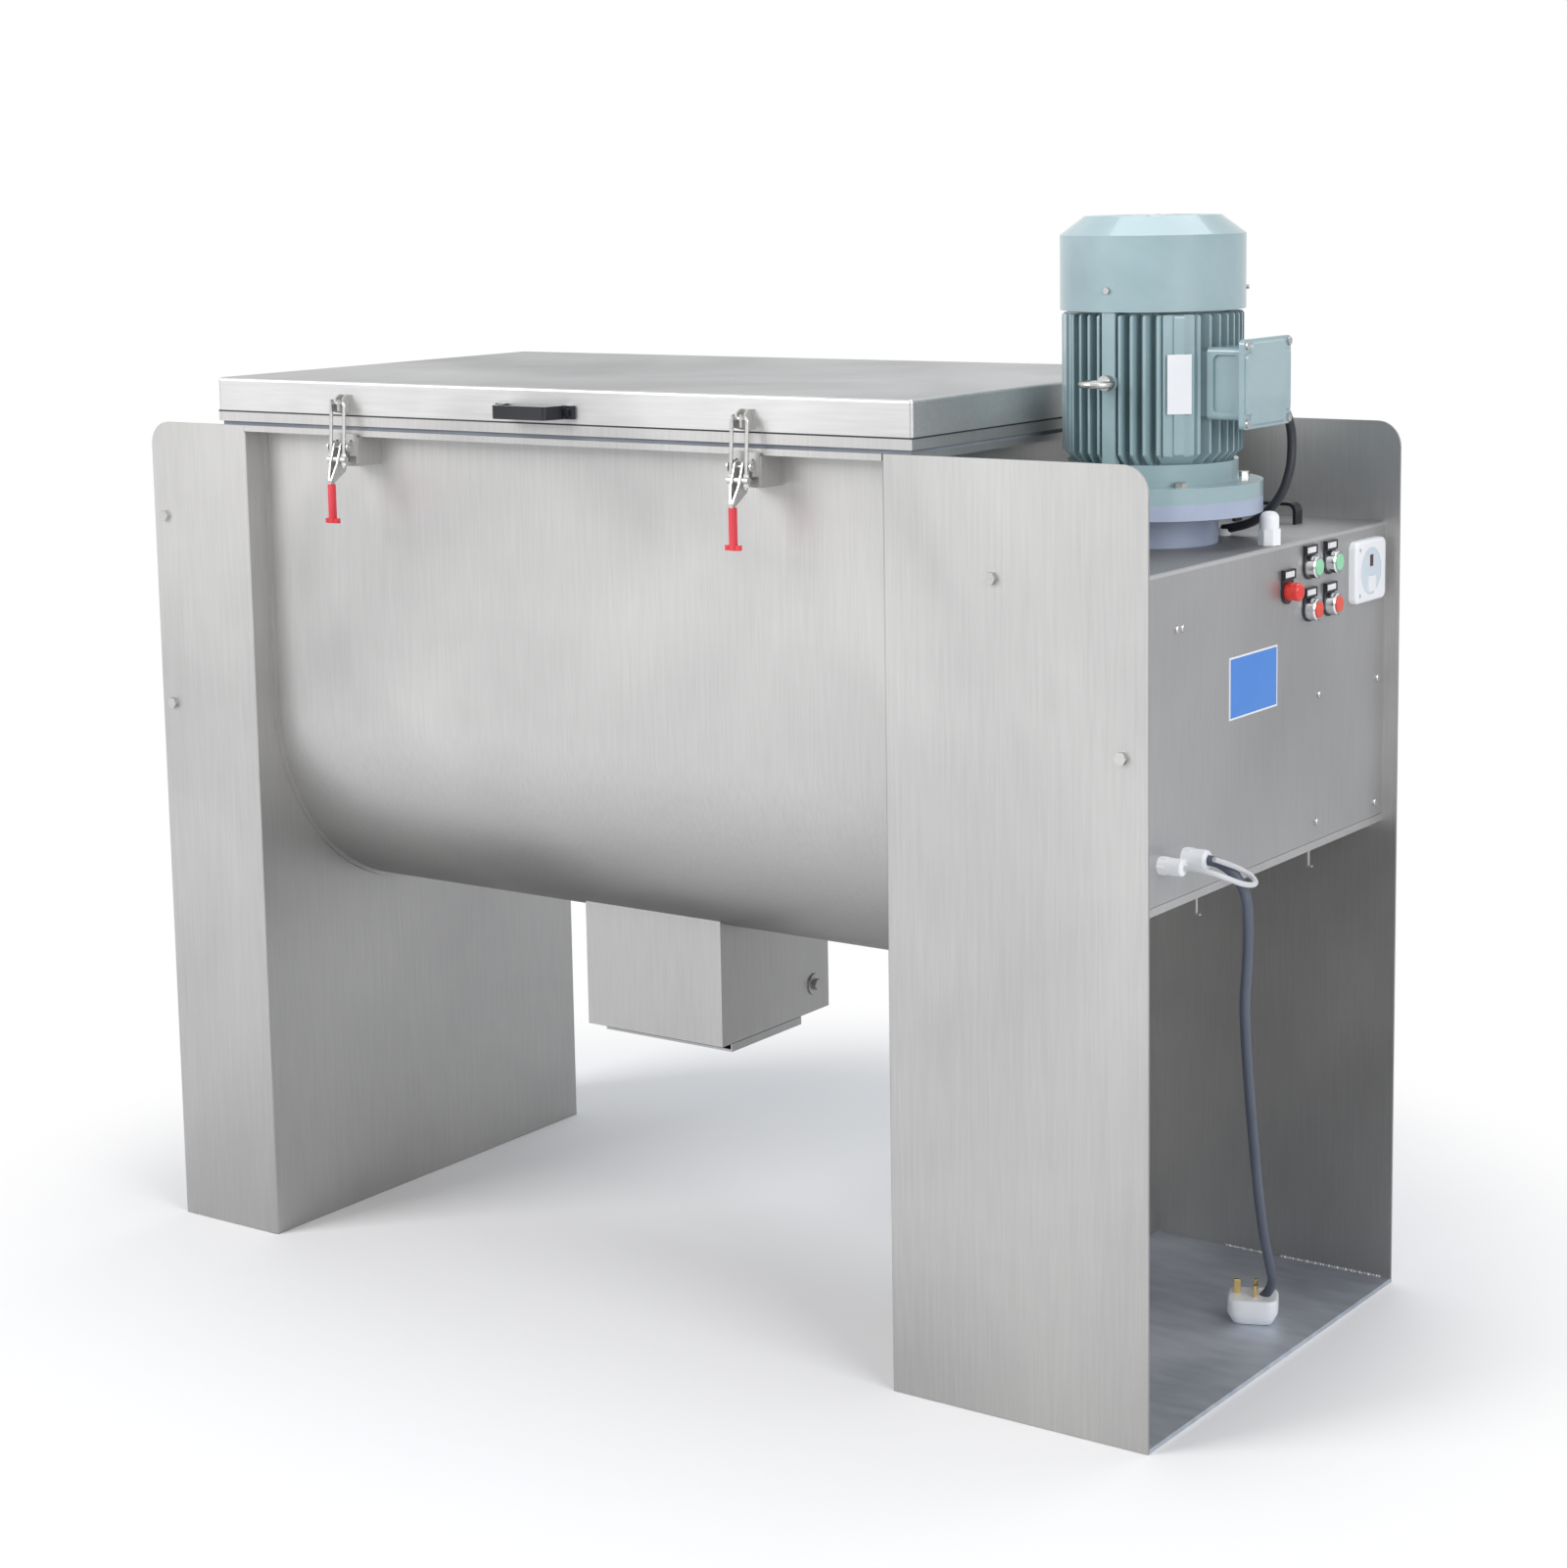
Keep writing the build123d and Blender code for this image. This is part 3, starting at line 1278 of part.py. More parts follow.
with BuildPart() as button_bezels:
    for y, z in button_places:
        with BuildSketch(facing_right(y, z)):
            Circle(button_bezel_radius)
            Circle(button_cap_radius + running_gap, mode=Mode.SUBTRACT)
        extrude(amount=button_bezel_height)
    front_rims = button_bezels.edges().filter_by(GeomType.CIRCLE).group_by(Axis.X)[-1]
    chamfer(front_rims.group_by(SortBy.RADIUS)[-1], length=1.5)
button_bezels.part.label = "button_bezels"
export_step(button_bezels.part, "parts/button_bezels.step")


def make_cap(place):
    with BuildPart() as cap:
        with BuildSketch(facing_right(*place, cover_face + button_travel + 0.5)):
            Circle(button_cap_radius)
        extrude(amount=button_bezel_height + button_cap_rise - button_travel - 0.5)
        fillet(cap.faces().sort_by(Axis.X)[-1].edges(), radius=1)
    return cap


start_button_1 = make_cap(button_places[0])
start_button_1.part.label = "start_button_1"
export_step(start_button_1.part, "parts/start_button_1.step")

start_button_2 = make_cap(button_places[1])
start_button_2.part.label = "start_button_2"
export_step(start_button_2.part, "parts/start_button_2.step")

stop_button_1 = make_cap(button_places[2])
stop_button_1.part.label = "stop_button_1"
export_step(stop_button_1.part, "parts/stop_button_1.step")

stop_button_2 = make_cap(button_places[3])
stop_button_2.part.label = "stop_button_2"
export_step(stop_button_2.part, "parts/stop_button_2.step")

timer_face = cover_face + timer_depth
with BuildPart() as timer_box:
    with BuildSketch(facing_right(timer_left + timer_width / 2, timer_bottom + timer_height / 2)):
        RectangleRounded(timer_width, timer_height, 9)
    extrude(amount=timer_depth)
    fillet(timer_box.faces().sort_by(Axis.X)[-1].edges(), radius=4)
    with BuildSketch(facing_right(*dial_place, timer_face)):
        Circle(dial_radius)
    extrude(amount=-0.8, mode=Mode.SUBTRACT)
    with BuildSketch(facing_right(*display_place, timer_face)):
        Rectangle(8, 14)
    extrude(amount=-1.6, mode=Mode.SUBTRACT)
    with BuildSketch(facing_right(*key_place, timer_face)):
        Rectangle(key_width + 2 * running_gap, key_height + 2 * running_gap)
    extrude(amount=-6, mode=Mode.SUBTRACT)
    with BuildSketch(facing_right(timer_left + 10, timer_bottom + timer_height / 2, timer_face)):
        with Locations((0, timer_height / 2 - 10), (0, 10 - timer_height / 2)):
            Circle(screw_radius)
    extrude(amount=-1, mode=Mode.SUBTRACT)
timer_box.part.label = "timer_box"
export_step(timer_box.part, "parts/timer_box.step")

with BuildPart() as timer_key:
    with BuildSketch(facing_right(*key_place, timer_face - 6 + key_travel + 0.3)):
        Rectangle(key_width, key_height)
    extrude(amount=6 - key_travel - 0.3 + 0.7)
timer_key.part.label = "timer_key"
export_step(timer_key.part, "parts/timer_key.step")


# Cable glands: hexagon base, domed nut with the cable's bore
def gland(plane, body, bore, reach):
    with BuildPart(mode=Mode.PRIVATE) as part:
        with BuildSketch(plane):
            RegularPolygon(body * 1.1, 6)
        extrude(amount=reach * 0.3)
        with BuildSketch(plane):
            Circle(body)
        extrude(amount=reach)
        fillet(part.faces().sort_by(Axis(plane.origin, plane.z_dir))[-1].edges(), radius=body * 0.35)
        with BuildSketch(plane):
            Circle(bore)
        extrude(amount=reach, mode=Mode.SUBTRACT)
    return part.part


top_gland_x = cover_face - top_gland_inset
box_gland_x = box_inner + box_gland_out
grommet_x = motor_x + grommet_out
top_gland = level(cover_top, top_gland_x, trough_plane + top_gland_y)
mains_gland = facing_right(*mains_gland_place)
signal_gland = facing_right(*signal_gland_place)
box_gland = Plane(origin=(box_gland_x, trough_plane + box_half_width, box_gland_z), z_dir=(0, 1, 0))
grommet_plane = level(cover_top, grommet_x, trough_plane + grommet_y)
with BuildPart() as cable_glands:
    with BuildSketch(top_gland):
        Circle(11)
    extrude(amount=38)
    fillet(cable_glands.faces().sort_by(Axis.Z)[-1].edges(), radius=8)
    with BuildSketch(top_gland):
        RegularPolygon(13.5, 8)
    extrude(amount=18)
    add(gland(mains_gland, 11.0, mains_cord_radius, gland_reach))
    add(gland(signal_gland, 9.5, signal_cord_radius, gland_reach))
    add(gland(box_gland, 10.0, motor_cable_radius, 16.0))
    with BuildSketch(grommet_plane):
        Circle(10)
    extrude(amount=8)
cable_glands.part.label = "cable_glands"
export_step(cable_glands.part, "parts/cable_glands.step")


# Cords: round tubes along straight runs with a bend at each corner
def bend_radii(points):
    """Largest even bend at each corner that leaves part of both runs straight."""
    radii = []
    for before, corner, after in zip(points, points[1:], points[2:]):
        arriving = Vector(*corner) - Vector(*before)
        leaving = Vector(*after) - Vector(*corner)
        half_turn = radians(arriving.get_angle(leaving)) / 2
        radii.append(0.45 * min(arriving.length, leaving.length) / tan(half_turn))
    return radii


def make_cord(route, radius):
    points = [(right_end + x, trough_plane + y, z) for x, y, z in route]
    with BuildPart() as cord:
        with BuildLine() as line:
            FilletPolyline(*points, radius=bend_radii(points))
        with BuildSketch(Plane(origin=line.line @ 0, z_dir=line.line % 0)):
            Circle(radius)
        sweep(path=line.line)
    return cord


mains_cord = make_cord(mains_route, mains_cord_radius)
mains_cord.part.label = "mains_cord"
export_step(mains_cord.part, "parts/mains_cord.step")

signal_cord = make_cord(signal_route, signal_cord_radius)
signal_cord.part.label = "signal_cord"
export_step(signal_cord.part, "parts/signal_cord.step")

motor_cable = make_cord(motor_cable_route, motor_cable_radius)
motor_cable.part.label = "motor_cable"
export_step(motor_cable.part, "parts/motor_cable.step")

# Mains plug, lying on the base plate with its three pins up
plug_plane = Plane(
    origin=(right_end + plug_place[0], trough_plane + plug_place[1], plug_place[2]),
    x_dir=(0.90, -0.066, 0.43),
    z_dir=(-0.344, 0.491, 0.80),
)
with BuildPart() as mains_plug:
    with BuildSketch(plug_plane.offset(-2)):
        RectangleRounded(48, 44, 10)
    with BuildSketch(plug_plane.offset(-11)):
        RectangleRounded(30, 26, 8)
    loft()
    with BuildSketch(plug_plane.offset(-2)):
        RectangleRounded(48, 44, 10)
    extrude(amount=7)
    with BuildSketch(plug_plane.offset(5)):
        with Locations((-12, 0)):
            Rectangle(8, 4)
        with Locations((10, -11), (10, 11)):
            Rectangle(4, 6.5)
    extrude(amount=18)
mains_plug.part.label = "mains_plug"
export_step(mains_plug.part, "parts/mains_plug.step")
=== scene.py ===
import json
import math

import bmesh
import bpy
from mathutils import Matrix, Vector


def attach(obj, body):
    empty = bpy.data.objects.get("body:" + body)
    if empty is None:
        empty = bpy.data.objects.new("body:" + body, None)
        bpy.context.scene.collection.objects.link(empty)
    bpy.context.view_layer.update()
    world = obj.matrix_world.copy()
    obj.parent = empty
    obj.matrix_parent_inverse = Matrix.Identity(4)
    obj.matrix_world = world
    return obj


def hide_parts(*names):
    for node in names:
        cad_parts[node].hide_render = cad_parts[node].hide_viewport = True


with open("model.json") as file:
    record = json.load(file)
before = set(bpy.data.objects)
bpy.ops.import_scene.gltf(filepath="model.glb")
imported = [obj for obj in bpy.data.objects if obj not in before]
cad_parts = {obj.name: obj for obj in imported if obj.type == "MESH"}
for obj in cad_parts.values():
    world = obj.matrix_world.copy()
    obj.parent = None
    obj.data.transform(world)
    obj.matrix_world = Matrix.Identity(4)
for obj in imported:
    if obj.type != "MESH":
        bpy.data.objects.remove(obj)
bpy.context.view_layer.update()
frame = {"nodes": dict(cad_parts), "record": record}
nodes = frame["nodes"]

# The machine's lengths are in metres, apart from the cords' routes, in millimetres
# The trough's middle plane lies this far behind the origin
TROUGH_Y = 0.020

# Shader groups, each built once and used by several finishes
STREAK_SCALE, FINE_SCALE = 4.0, 19.0
PATCH_DETAIL, PATCH_DISTORTION = 5.0, 0.6
SKIN_DETAIL = 3.0


def new_group(name, inputs, outputs):
    group = bpy.data.node_groups.new(name, "ShaderNodeTree")
    for label, kind, default in inputs:
        socket = group.interface.new_socket(label, in_out="INPUT", socket_type=kind)
        socket.default_value = default
    for label, kind in outputs:
        group.interface.new_socket(label, in_out="OUTPUT", socket_type=kind)
    return group, group.nodes.new("NodeGroupInput"), group.nodes.new("NodeGroupOutput")


def grain_group():
    """Long fine streaks along one axis: the stretch is small along the streaks."""
    group, inputs, outputs = new_group(
        "brushed_grain",
        (("Stretch", "NodeSocketVector", (2.0, 60.0, 60.0)), ("Detail", "NodeSocketFloat", 6.0)),
        (("Streak", "NodeSocketFloat"), ("Fine", "NodeSocketFloat")),
    )
    place = group.nodes.new("ShaderNodeTexCoord")
    scale = group.nodes.new("ShaderNodeVectorMath")
    scale.operation = "MULTIPLY"
    coarse = group.nodes.new("ShaderNodeTexNoise")
    coarse.inputs["Scale"].default_value = STREAK_SCALE
    fine = group.nodes.new("ShaderNodeTexNoise")
    fine.inputs["Scale"].default_value = FINE_SCALE
    link = group.links.new
    link(place.outputs["Object"], scale.inputs[0])
    link(inputs.outputs["Stretch"], scale.inputs[1])
    for noise in (coarse, fine):
        link(scale.outputs[0], noise.inputs["Vector"])
        link(inputs.outputs["Detail"], noise.inputs["Detail"])
    link(coarse.outputs["Fac"], outputs.inputs["Streak"])
    link(fine.outputs["Fac"], outputs.inputs["Fine"])
    return group


def patch_group():
    """Soft uneven patches, such as handling marks and thin dust, spread about a half."""
    group, inputs, outputs = new_group(
        "soft_patches",
        (("Size", "NodeSocketFloat", 3.0), ("Contrast", "NodeSocketFloat", 0.5)),
        (("Patch", "NodeSocketFloat"),),
    )
    place = group.nodes.new("ShaderNodeTexCoord")
    noise = group.nodes.new("ShaderNodeTexNoise")
    noise.inputs["Detail"].default_value = PATCH_DETAIL
    noise.inputs["Distortion"].default_value = PATCH_DISTORTION
    centred = group.nodes.new("ShaderNodeMath")
    centred.operation = "SUBTRACT"
    centred.inputs[1].default_value = 0.5
    spread = group.nodes.new("ShaderNodeMath")
    spread.operation = "MULTIPLY_ADD"
    spread.inputs[2].default_value = 0.5
    spread.use_clamp = True
    link = group.links.new
    link(place.outputs["Object"], noise.inputs["Vector"])
    link(inputs.outputs["Size"], noise.inputs["Scale"])
    link(noise.outputs["Fac"], centred.inputs[0])
    link(centred.outputs[0], spread.inputs[0])
    link(inputs.outputs["Contrast"], spread.inputs[1])
    link(spread.outputs[0], outputs.inputs["Patch"])
    return group


def skin_group():
    """Fine pitted skin of cast metal and moulded plastic."""
    group, inputs, outputs = new_group(
        "pitted_skin",
        (("Size", "NodeSocketFloat", 300.0),),
        (("Height", "NodeSocketFloat"),),
    )
    place = group.nodes.new("ShaderNodeTexCoord")
    noise = group.nodes.new("ShaderNodeTexNoise")
    noise.inputs["Detail"].default_value = SKIN_DETAIL
    link = group.links.new
    link(place.outputs["Object"], noise.inputs["Vector"])
    link(inputs.outputs["Size"], noise.inputs["Scale"])
    link(noise.outputs["Fac"], outputs.inputs["Height"])
    return group


GRAIN = grain_group()
PATCHES = patch_group()
SKIN = skin_group()

# Finishes: patches or streaks below the first value are dark, above the second light
DARK_UP_TO, LIGHT_FROM = 0.3, 0.7
# How much of brushed metal's shades comes from the patches, the rest from the streaks
PATCH_SHARE = 0.55
# The brushed sheet darkens evenly below this height
DARKENING_HEIGHT = 0.85
FINISHES = {}


class Finish:
    """One material, kept in FINISHES, and short calls that add nodes to it."""

    def __init__(self, name, metallic=0.0, coat=0.0, specular=0.5, edge=1.0):
        self.material = bpy.data.materials.new(name)
        self.material.use_nodes = True
        self.tree = self.material.node_tree
        self.shader = self.tree.nodes["Principled BSDF"]
        self.shader.inputs["Metallic"].default_value = metallic
        self.shader.inputs["Coat Weight"].default_value = coat
        self.shader.inputs["Specular IOR Level"].default_value = specular
        self.shader.inputs["Specular Tint"].default_value = (edge, edge, edge, 1)
        FINISHES[name] = self.material

    def add_group(self, group, **values):
        node = self.tree.nodes.new("ShaderNodeGroup")
        node.node_tree = group
        for label, value in values.items():
            node.inputs[label].default_value = value
        return node

    def shades(self, factor, dark, light):
        ramp = self.tree.nodes.new("ShaderNodeValToRGB")
        ramp.color_ramp.elements[0].position = DARK_UP_TO
        ramp.color_ramp.elements[0].color = (*dark, 1)
        ramp.color_ramp.elements[1].position = LIGHT_FROM
        ramp.color_ramp.elements[1].color = (*light, 1)
        self.tree.links.new(factor, ramp.inputs["Fac"])
        self.tree.links.new(ramp.outputs["Color"], self.shader.inputs["Base Color"])
        return ramp

    def darken_towards_floor(self, colour, left):
        """Darkens a colour evenly below DARKENING_HEIGHT, to the share left of it at the floor."""
        place = self.tree.nodes.new("ShaderNodeTexCoord")
        parts = self.tree.nodes.new("ShaderNodeSeparateXYZ")
        self.tree.links.new(place.outputs["Object"], parts.inputs[0])
        height = self.tree.nodes.new("ShaderNodeMapRange")
        height.inputs["From Max"].default_value = DARKENING_HEIGHT
        height.inputs["To Min"].default_value = left
        self.tree.links.new(parts.outputs["Z"], height.inputs["Value"])
        kept = self.tree.nodes.new("ShaderNodeVectorMath")
        kept.operation = "SCALE"
        self.tree.links.new(colour, kept.inputs[0])
        self.tree.links.new(height.outputs["Result"], kept.inputs["Scale"])
        self.tree.links.new(kept.outputs[0], self.shader.inputs["Base Color"])

    def gloss(self, factor, low, high):
        span = self.tree.nodes.new("ShaderNodeMapRange")
        span.inputs["To Min"].default_value = low
        span.inputs["To Max"].default_value = high
        self.tree.links.new(factor, span.inputs["Value"])
        self.tree.links.new(span.outputs["Result"], self.shader.inputs["Roughness"])

    def relief(self, height, strength, distance):
        bump = self.tree.nodes.new("ShaderNodeBump")
        bump.inputs["Strength"].default_value = strength
        bump.inputs["Distance"].default_value = distance
        self.tree.links.new(height, bump.inputs["Height"])
        self.tree.links.new(bump.outputs["Normal"], self.shader.inputs["Normal"])


def brushed(name, dark, light, stretch, metallic=0.85, rough=(0.3, 0.46), left_at_floor=1.0):
    """Brushed metal. Its last argument, below 1, is the share of its colour left at the floor, towards
    which it darkens evenly.
    """
    finish = Finish(name, metallic=metallic, specular=0.3, edge=0.3)
    grain = finish.add_group(GRAIN, Stretch=stretch)
    patches = finish.add_group(PATCHES, Size=2.6, Contrast=1.5)
    mix = finish.tree.nodes.new("ShaderNodeMix")
    mix.inputs["Factor"].default_value = PATCH_SHARE
    finish.tree.links.new(grain.outputs["Streak"], mix.inputs["A"])
    finish.tree.links.new(patches.outputs["Patch"], mix.inputs["B"])
    shades = finish.shades(mix.outputs["Result"], dark, light)
    if left_at_floor < 1:
        finish.darken_towards_floor(shades.outputs["Color"], left_at_floor)
    finish.gloss(patches.outputs["Patch"], *rough)
    finish.relief(grain.outputs["Fine"], strength=0.12, distance=0.0004)


def painted(name, dark, light, rough=(0.32, 0.45), pits=260.0, bump=0.25, coat=0.2):
    """Sprayed paint over a cast skin."""
    finish = Finish(name, coat=coat)
    patches = finish.add_group(PATCHES, Size=7.0, Contrast=1.2)
    skin = finish.add_group(SKIN, Size=pits)
    finish.shades(patches.outputs["Patch"], dark, light)
    finish.gloss(patches.outputs["Patch"], *rough)
    finish.relief(skin.outputs["Height"], strength=bump, distance=0.0006)


def moulded(name, dark, light, rough=(0.25, 0.38)):
    """Plastic or rubber: a finer and flatter skin, with no coat."""
    painted(name, dark, light, rough, pits=700.0, bump=0.08, coat=0.0)


def spot_mask(finish, centre, half, is_round):
    """White inside a disc or a rectangle on a face that looks along X, black outside it."""
    link = finish.tree.links.new
    place = finish.tree.nodes.new("ShaderNodeTexCoord")
    from_centre = finish.tree.nodes.new("ShaderNodeVectorMath")
    from_centre.operation = "SUBTRACT"
    from_centre.inputs[1].default_value = (0, *centre)
    link(place.outputs["Object"], from_centre.inputs[0])
    flat = finish.tree.nodes.new("ShaderNodeVectorMath")
    flat.operation = "MULTIPLY"
    flat.inputs[1].default_value = (0, 1 / half[0], 1 / half[1])
    link(from_centre.outputs[0], flat.inputs[0])
    inside = finish.tree.nodes.new("ShaderNodeMath")
    inside.operation = "LESS_THAN"
    inside.inputs[1].default_value = 1.0
    if is_round:
        length = finish.tree.nodes.new("ShaderNodeVectorMath")
        length.operation = "LENGTH"
        link(flat.outputs[0], length.inputs[0])
        link(length.outputs["Value"], inside.inputs[0])
        return inside.outputs[0]
    size = finish.tree.nodes.new("ShaderNodeVectorMath")
    size.operation = "ABSOLUTE"
    link(flat.outputs[0], size.inputs[0])
    parts = finish.tree.nodes.new("ShaderNodeSeparateXYZ")
    link(size.outputs[0], parts.inputs[0])
    larger = finish.tree.nodes.new("ShaderNodeMath")
    larger.operation = "MAXIMUM"
    link(parts.outputs["Y"], larger.inputs[0])
    link(parts.outputs["Z"], larger.inputs[1])
    link(larger.outputs[0], inside.inputs[0])
    return inside.outputs[0]


def two_toned(name, outside, inside, centre, half, is_round=False):
    """Moulded plate whose colour changes inside a disc or rectangle."""
    finish = Finish(name)
    patches = finish.add_group(PATCHES, Size=9.0, Contrast=1.0)
    skin = finish.add_group(SKIN, Size=600.0)
    colours = []
    for dark, light in (outside, inside):
        ramp = finish.tree.nodes.new("ShaderNodeValToRGB")
        ramp.color_ramp.elements[0].color = (*dark, 1)
        ramp.color_ramp.elements[1].color = (*light, 1)
        finish.tree.links.new(patches.outputs["Patch"], ramp.inputs["Fac"])
        colours.append(ramp.outputs["Color"])
    choice = finish.tree.nodes.new("ShaderNodeMix")
    choice.data_type = "RGBA"
    finish.tree.links.new(spot_mask(finish, centre, half, is_round), choice.inputs["Factor"])
    finish.tree.links.new(colours[0], choice.inputs["A"])
    finish.tree.links.new(colours[1], choice.inputs["B"])
    finish.tree.links.new(choice.outputs["Result"], finish.shader.inputs["Base Color"])
    finish.gloss(patches.outputs["Patch"], 0.26, 0.38)
    finish.relief(skin.outputs["Height"], strength=0.08, distance=0.0005)


# How the grain is stretched: up and down, along the lid, the same all ways, or scuffed
UPRIGHT = (90.0, 90.0, 3.0)
ALONG_LID = (3.0, 60.0, 60.0)
ALL_WAYS = (40.0, 40.0, 40.0)
SCUFFED = (4.0, 14.0, 14.0)

# Shades in pairs, dark and light, for the plates of two colours
WHITE = ((0.74, 0.76, 0.79), (0.86, 0.87, 0.89))
BLUE = ((0.05, 0.2, 0.62), (0.08, 0.26, 0.7))
DIAL_BLUE = ((0.55, 0.62, 0.7), (0.63, 0.7, 0.77))

# The timer's dial and the blue plate's field, by their middles and half sizes in Y and Z
DIAL_MIDDLE = (TROUGH_Y + 0.251, 0.897)
DIAL_RADIUS = 0.028
BLUE_MIDDLE = (TROUGH_Y - 0.0355, 0.803)
BLUE_HALF = (0.0565, 0.033)

# Sheet and bare metal
# The brushed sheet is evenly darker towards the floor, to the share given last
brushed("brushed_sheet", (0.465, 0.46, 0.455), (0.565, 0.56, 0.55), UPRIGHT, left_at_floor=0.82)
brushed("lid_sheet", (0.53, 0.53, 0.53), (0.66, 0.655, 0.65), ALONG_LID)
brushed("housing_sheet", (0.49, 0.49, 0.495), (0.565, 0.565, 0.57), UPRIGHT)
brushed("inner_steel", (0.52, 0.52, 0.515), (0.66, 0.66, 0.65), ALL_WAYS, rough=(0.18, 0.3))
brushed("plain_steel", (0.46, 0.5, 0.57), (0.74, 0.78, 0.85), SCUFFED, rough=(0.4, 0.55))
brushed("zinc_fasteners", (0.5, 0.5, 0.49), (0.66, 0.655, 0.64), ALL_WAYS, rough=(0.22, 0.34))

# Paint
painted("bearing_iron", (0.05, 0.055, 0.06), (0.09, 0.095, 0.1))
painted("motor_paint", (0.25, 0.36, 0.39), (0.33, 0.45, 0.48), rough=(0.26, 0.38), coat=0.5)
painted("reducer_paint", (0.3, 0.355, 0.47), (0.4, 0.455, 0.59))

# Rubber and plastic
moulded("gasket_rubber", (0.17, 0.19, 0.23), (0.24, 0.26, 0.3), rough=(0.6, 0.75))
moulded("seal_rubber", (0.012, 0.012, 0.014), (0.022, 0.022, 0.025), rough=(0.6, 0.75))
moulded("grip_red", (0.6, 0.035, 0.05), (0.72, 0.06, 0.08))
moulded("cap_green", (0.24, 0.6, 0.36), (0.32, 0.7, 0.44))
moulded("cap_red", (0.7, 0.07, 0.045), (0.82, 0.11, 0.07))
moulded("lens_red", (0.65, 0.03, 0.025), (0.8, 0.06, 0.045), rough=(0.1, 0.16))
moulded("display_brown", (0.06, 0.02, 0.02), (0.11, 0.04, 0.035), rough=(0.12, 0.2))
moulded("black_plastic", (0.008, 0.009, 0.013), (0.018, 0.019, 0.025))
moulded("white_plastic", *WHITE)
two_toned("timer_face", WHITE, DIAL_BLUE, DIAL_MIDDLE, (DIAL_RADIUS, DIAL_RADIUS), is_round=True)
two_toned("blue_plate", WHITE, BLUE, BLUE_MIDDLE, BLUE_HALF)

# Plated, brass and welded metal
brushed("bezel_chrome", (0.7, 0.71, 0.72), (0.8, 0.81, 0.82), ALL_WAYS, metallic=0.95, rough=(0.1, 0.18))
brushed("pin_brass", (0.62, 0.43, 0.14), (0.78, 0.58, 0.24), ALL_WAYS, metallic=0.95, rough=(0.2, 0.3))
brushed("weld_bead", (0.42, 0.42, 0.44), (0.8, 0.8, 0.82), ALL_WAYS, metallic=0.9, rough=(0.25, 0.5))

# The cords' sheaths
moulded("mains_sheath", (0.065, 0.08, 0.115), (0.09, 0.105, 0.145), rough=(0.4, 0.55))
moulded("signal_sheath", (0.5, 0.51, 0.53), (0.6, 0.61, 0.63), rough=(0.4, 0.5))
moulded("motor_sheath", (0.014, 0.016, 0.022), (0.028, 0.03, 0.04), rough=(0.4, 0.55))

# Three nodes have a finish of their own within their slot
OWN_FINISH = {"lid_pan": "lid_sheet", "housing_tray": "lid_sheet", "timer_box": "timer_face"}
slot_of = {piece["node"]: piece["material_slot"] for piece in frame["record"]["subparts"]}
for name, node in nodes.items():
    for place in node.material_slots:
        place.material = FINISHES[OWN_FINISH.get(name, slot_of[name])]


# Small pieces that the bare solids leave out
def dress(name, builder, body, finish):
    """Turns a bmesh into a piece that rides on a body."""
    mesh = bpy.data.meshes.new(name)
    bmesh.ops.recalc_face_normals(builder, faces=builder.faces)
    builder.to_mesh(mesh)
    builder.free()
    mesh.materials.append(FINISHES[finish])
    piece = bpy.data.objects.new(name, mesh)
    bpy.context.scene.collection.objects.link(piece)
    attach(piece, body)
    return piece


def add_slab(builder, centre, size, rounding, turn=None):
    """Plate or block with softened edges."""
    place = Matrix.Translation(centre) @ (turn or Matrix.Identity(4))
    made = bmesh.ops.create_cube(builder, size=1, matrix=place @ Matrix.Diagonal((*size, 1)))
    edges = list({edge for corner in made["verts"] for edge in corner.link_edges})
    bmesh.ops.bevel(builder, geom=edges, offset=rounding, segments=2, affect="EDGES", profile=0.5)


def close_rings(builder, rings):
    """Walls between rings of points, and a cap on the first and on the last one."""
    for low, high in zip(rings, rings[1:]):
        for step in range(len(low)):
            after = (step + 1) % len(low)
            builder.faces.new((low[step], low[after], high[after], high[step]))
    builder.faces.new(rings[-1])
    builder.faces.new(list(reversed(rings[0])))


# A screw's dome as shares of its height and its radius
SCREW_DOME = ((0.0, 1.0), (0.55, 1.0), (0.85, 0.8), (1.0, 0.45))
SCREW_STEPS = 20


def add_screw(builder, centre, radius, height):
    """Domed screw head that looks along X."""
    turn = Matrix.Translation(centre) @ Matrix.Rotation(math.radians(90), 4, "Y")
    rings = []
    for rise, share in SCREW_DOME:
        reach = radius * share
        ring = []
        for step in range(SCREW_STEPS):
            angle = math.tau * step / SCREW_STEPS
            spot = Vector((reach * math.cos(angle), reach * math.sin(angle), height * rise))
            ring.append(builder.verts.new(turn @ spot))
        rings.append(ring)
    close_rings(builder, rings)


# Legend windows, a narrow and a wide one in each holder, above the four buttons and the lamp
BUTTON_PLACES = [(y, z) for z in (0.918, 0.869) for y in (0.103, 0.156)]
LAMP_PLACE = (0.047, 0.896)
HOLDER_FACE = 0.720
WINDOW_RISE = 0.0193
WINDOW_DEEP, WINDOW_HIGH = 0.0006, 0.0068
# Each window's middle across its holder, and its width
WINDOWS = ((-0.0096, 0.0040), (0.0022, 0.0180))
windows = bmesh.new()
for y, z in BUTTON_PLACES + [LAMP_PLACE]:
    for across, width in WINDOWS:
        spot = (HOLDER_FACE + WINDOW_DEEP / 2, TROUGH_Y + y + across, z + WINDOW_RISE)
        add_slab(windows, spot, (WINDOW_DEEP, width, WINDOW_HIGH), rounding=0.0002)
dress("legend_windows", windows, "frame", "white_plastic")

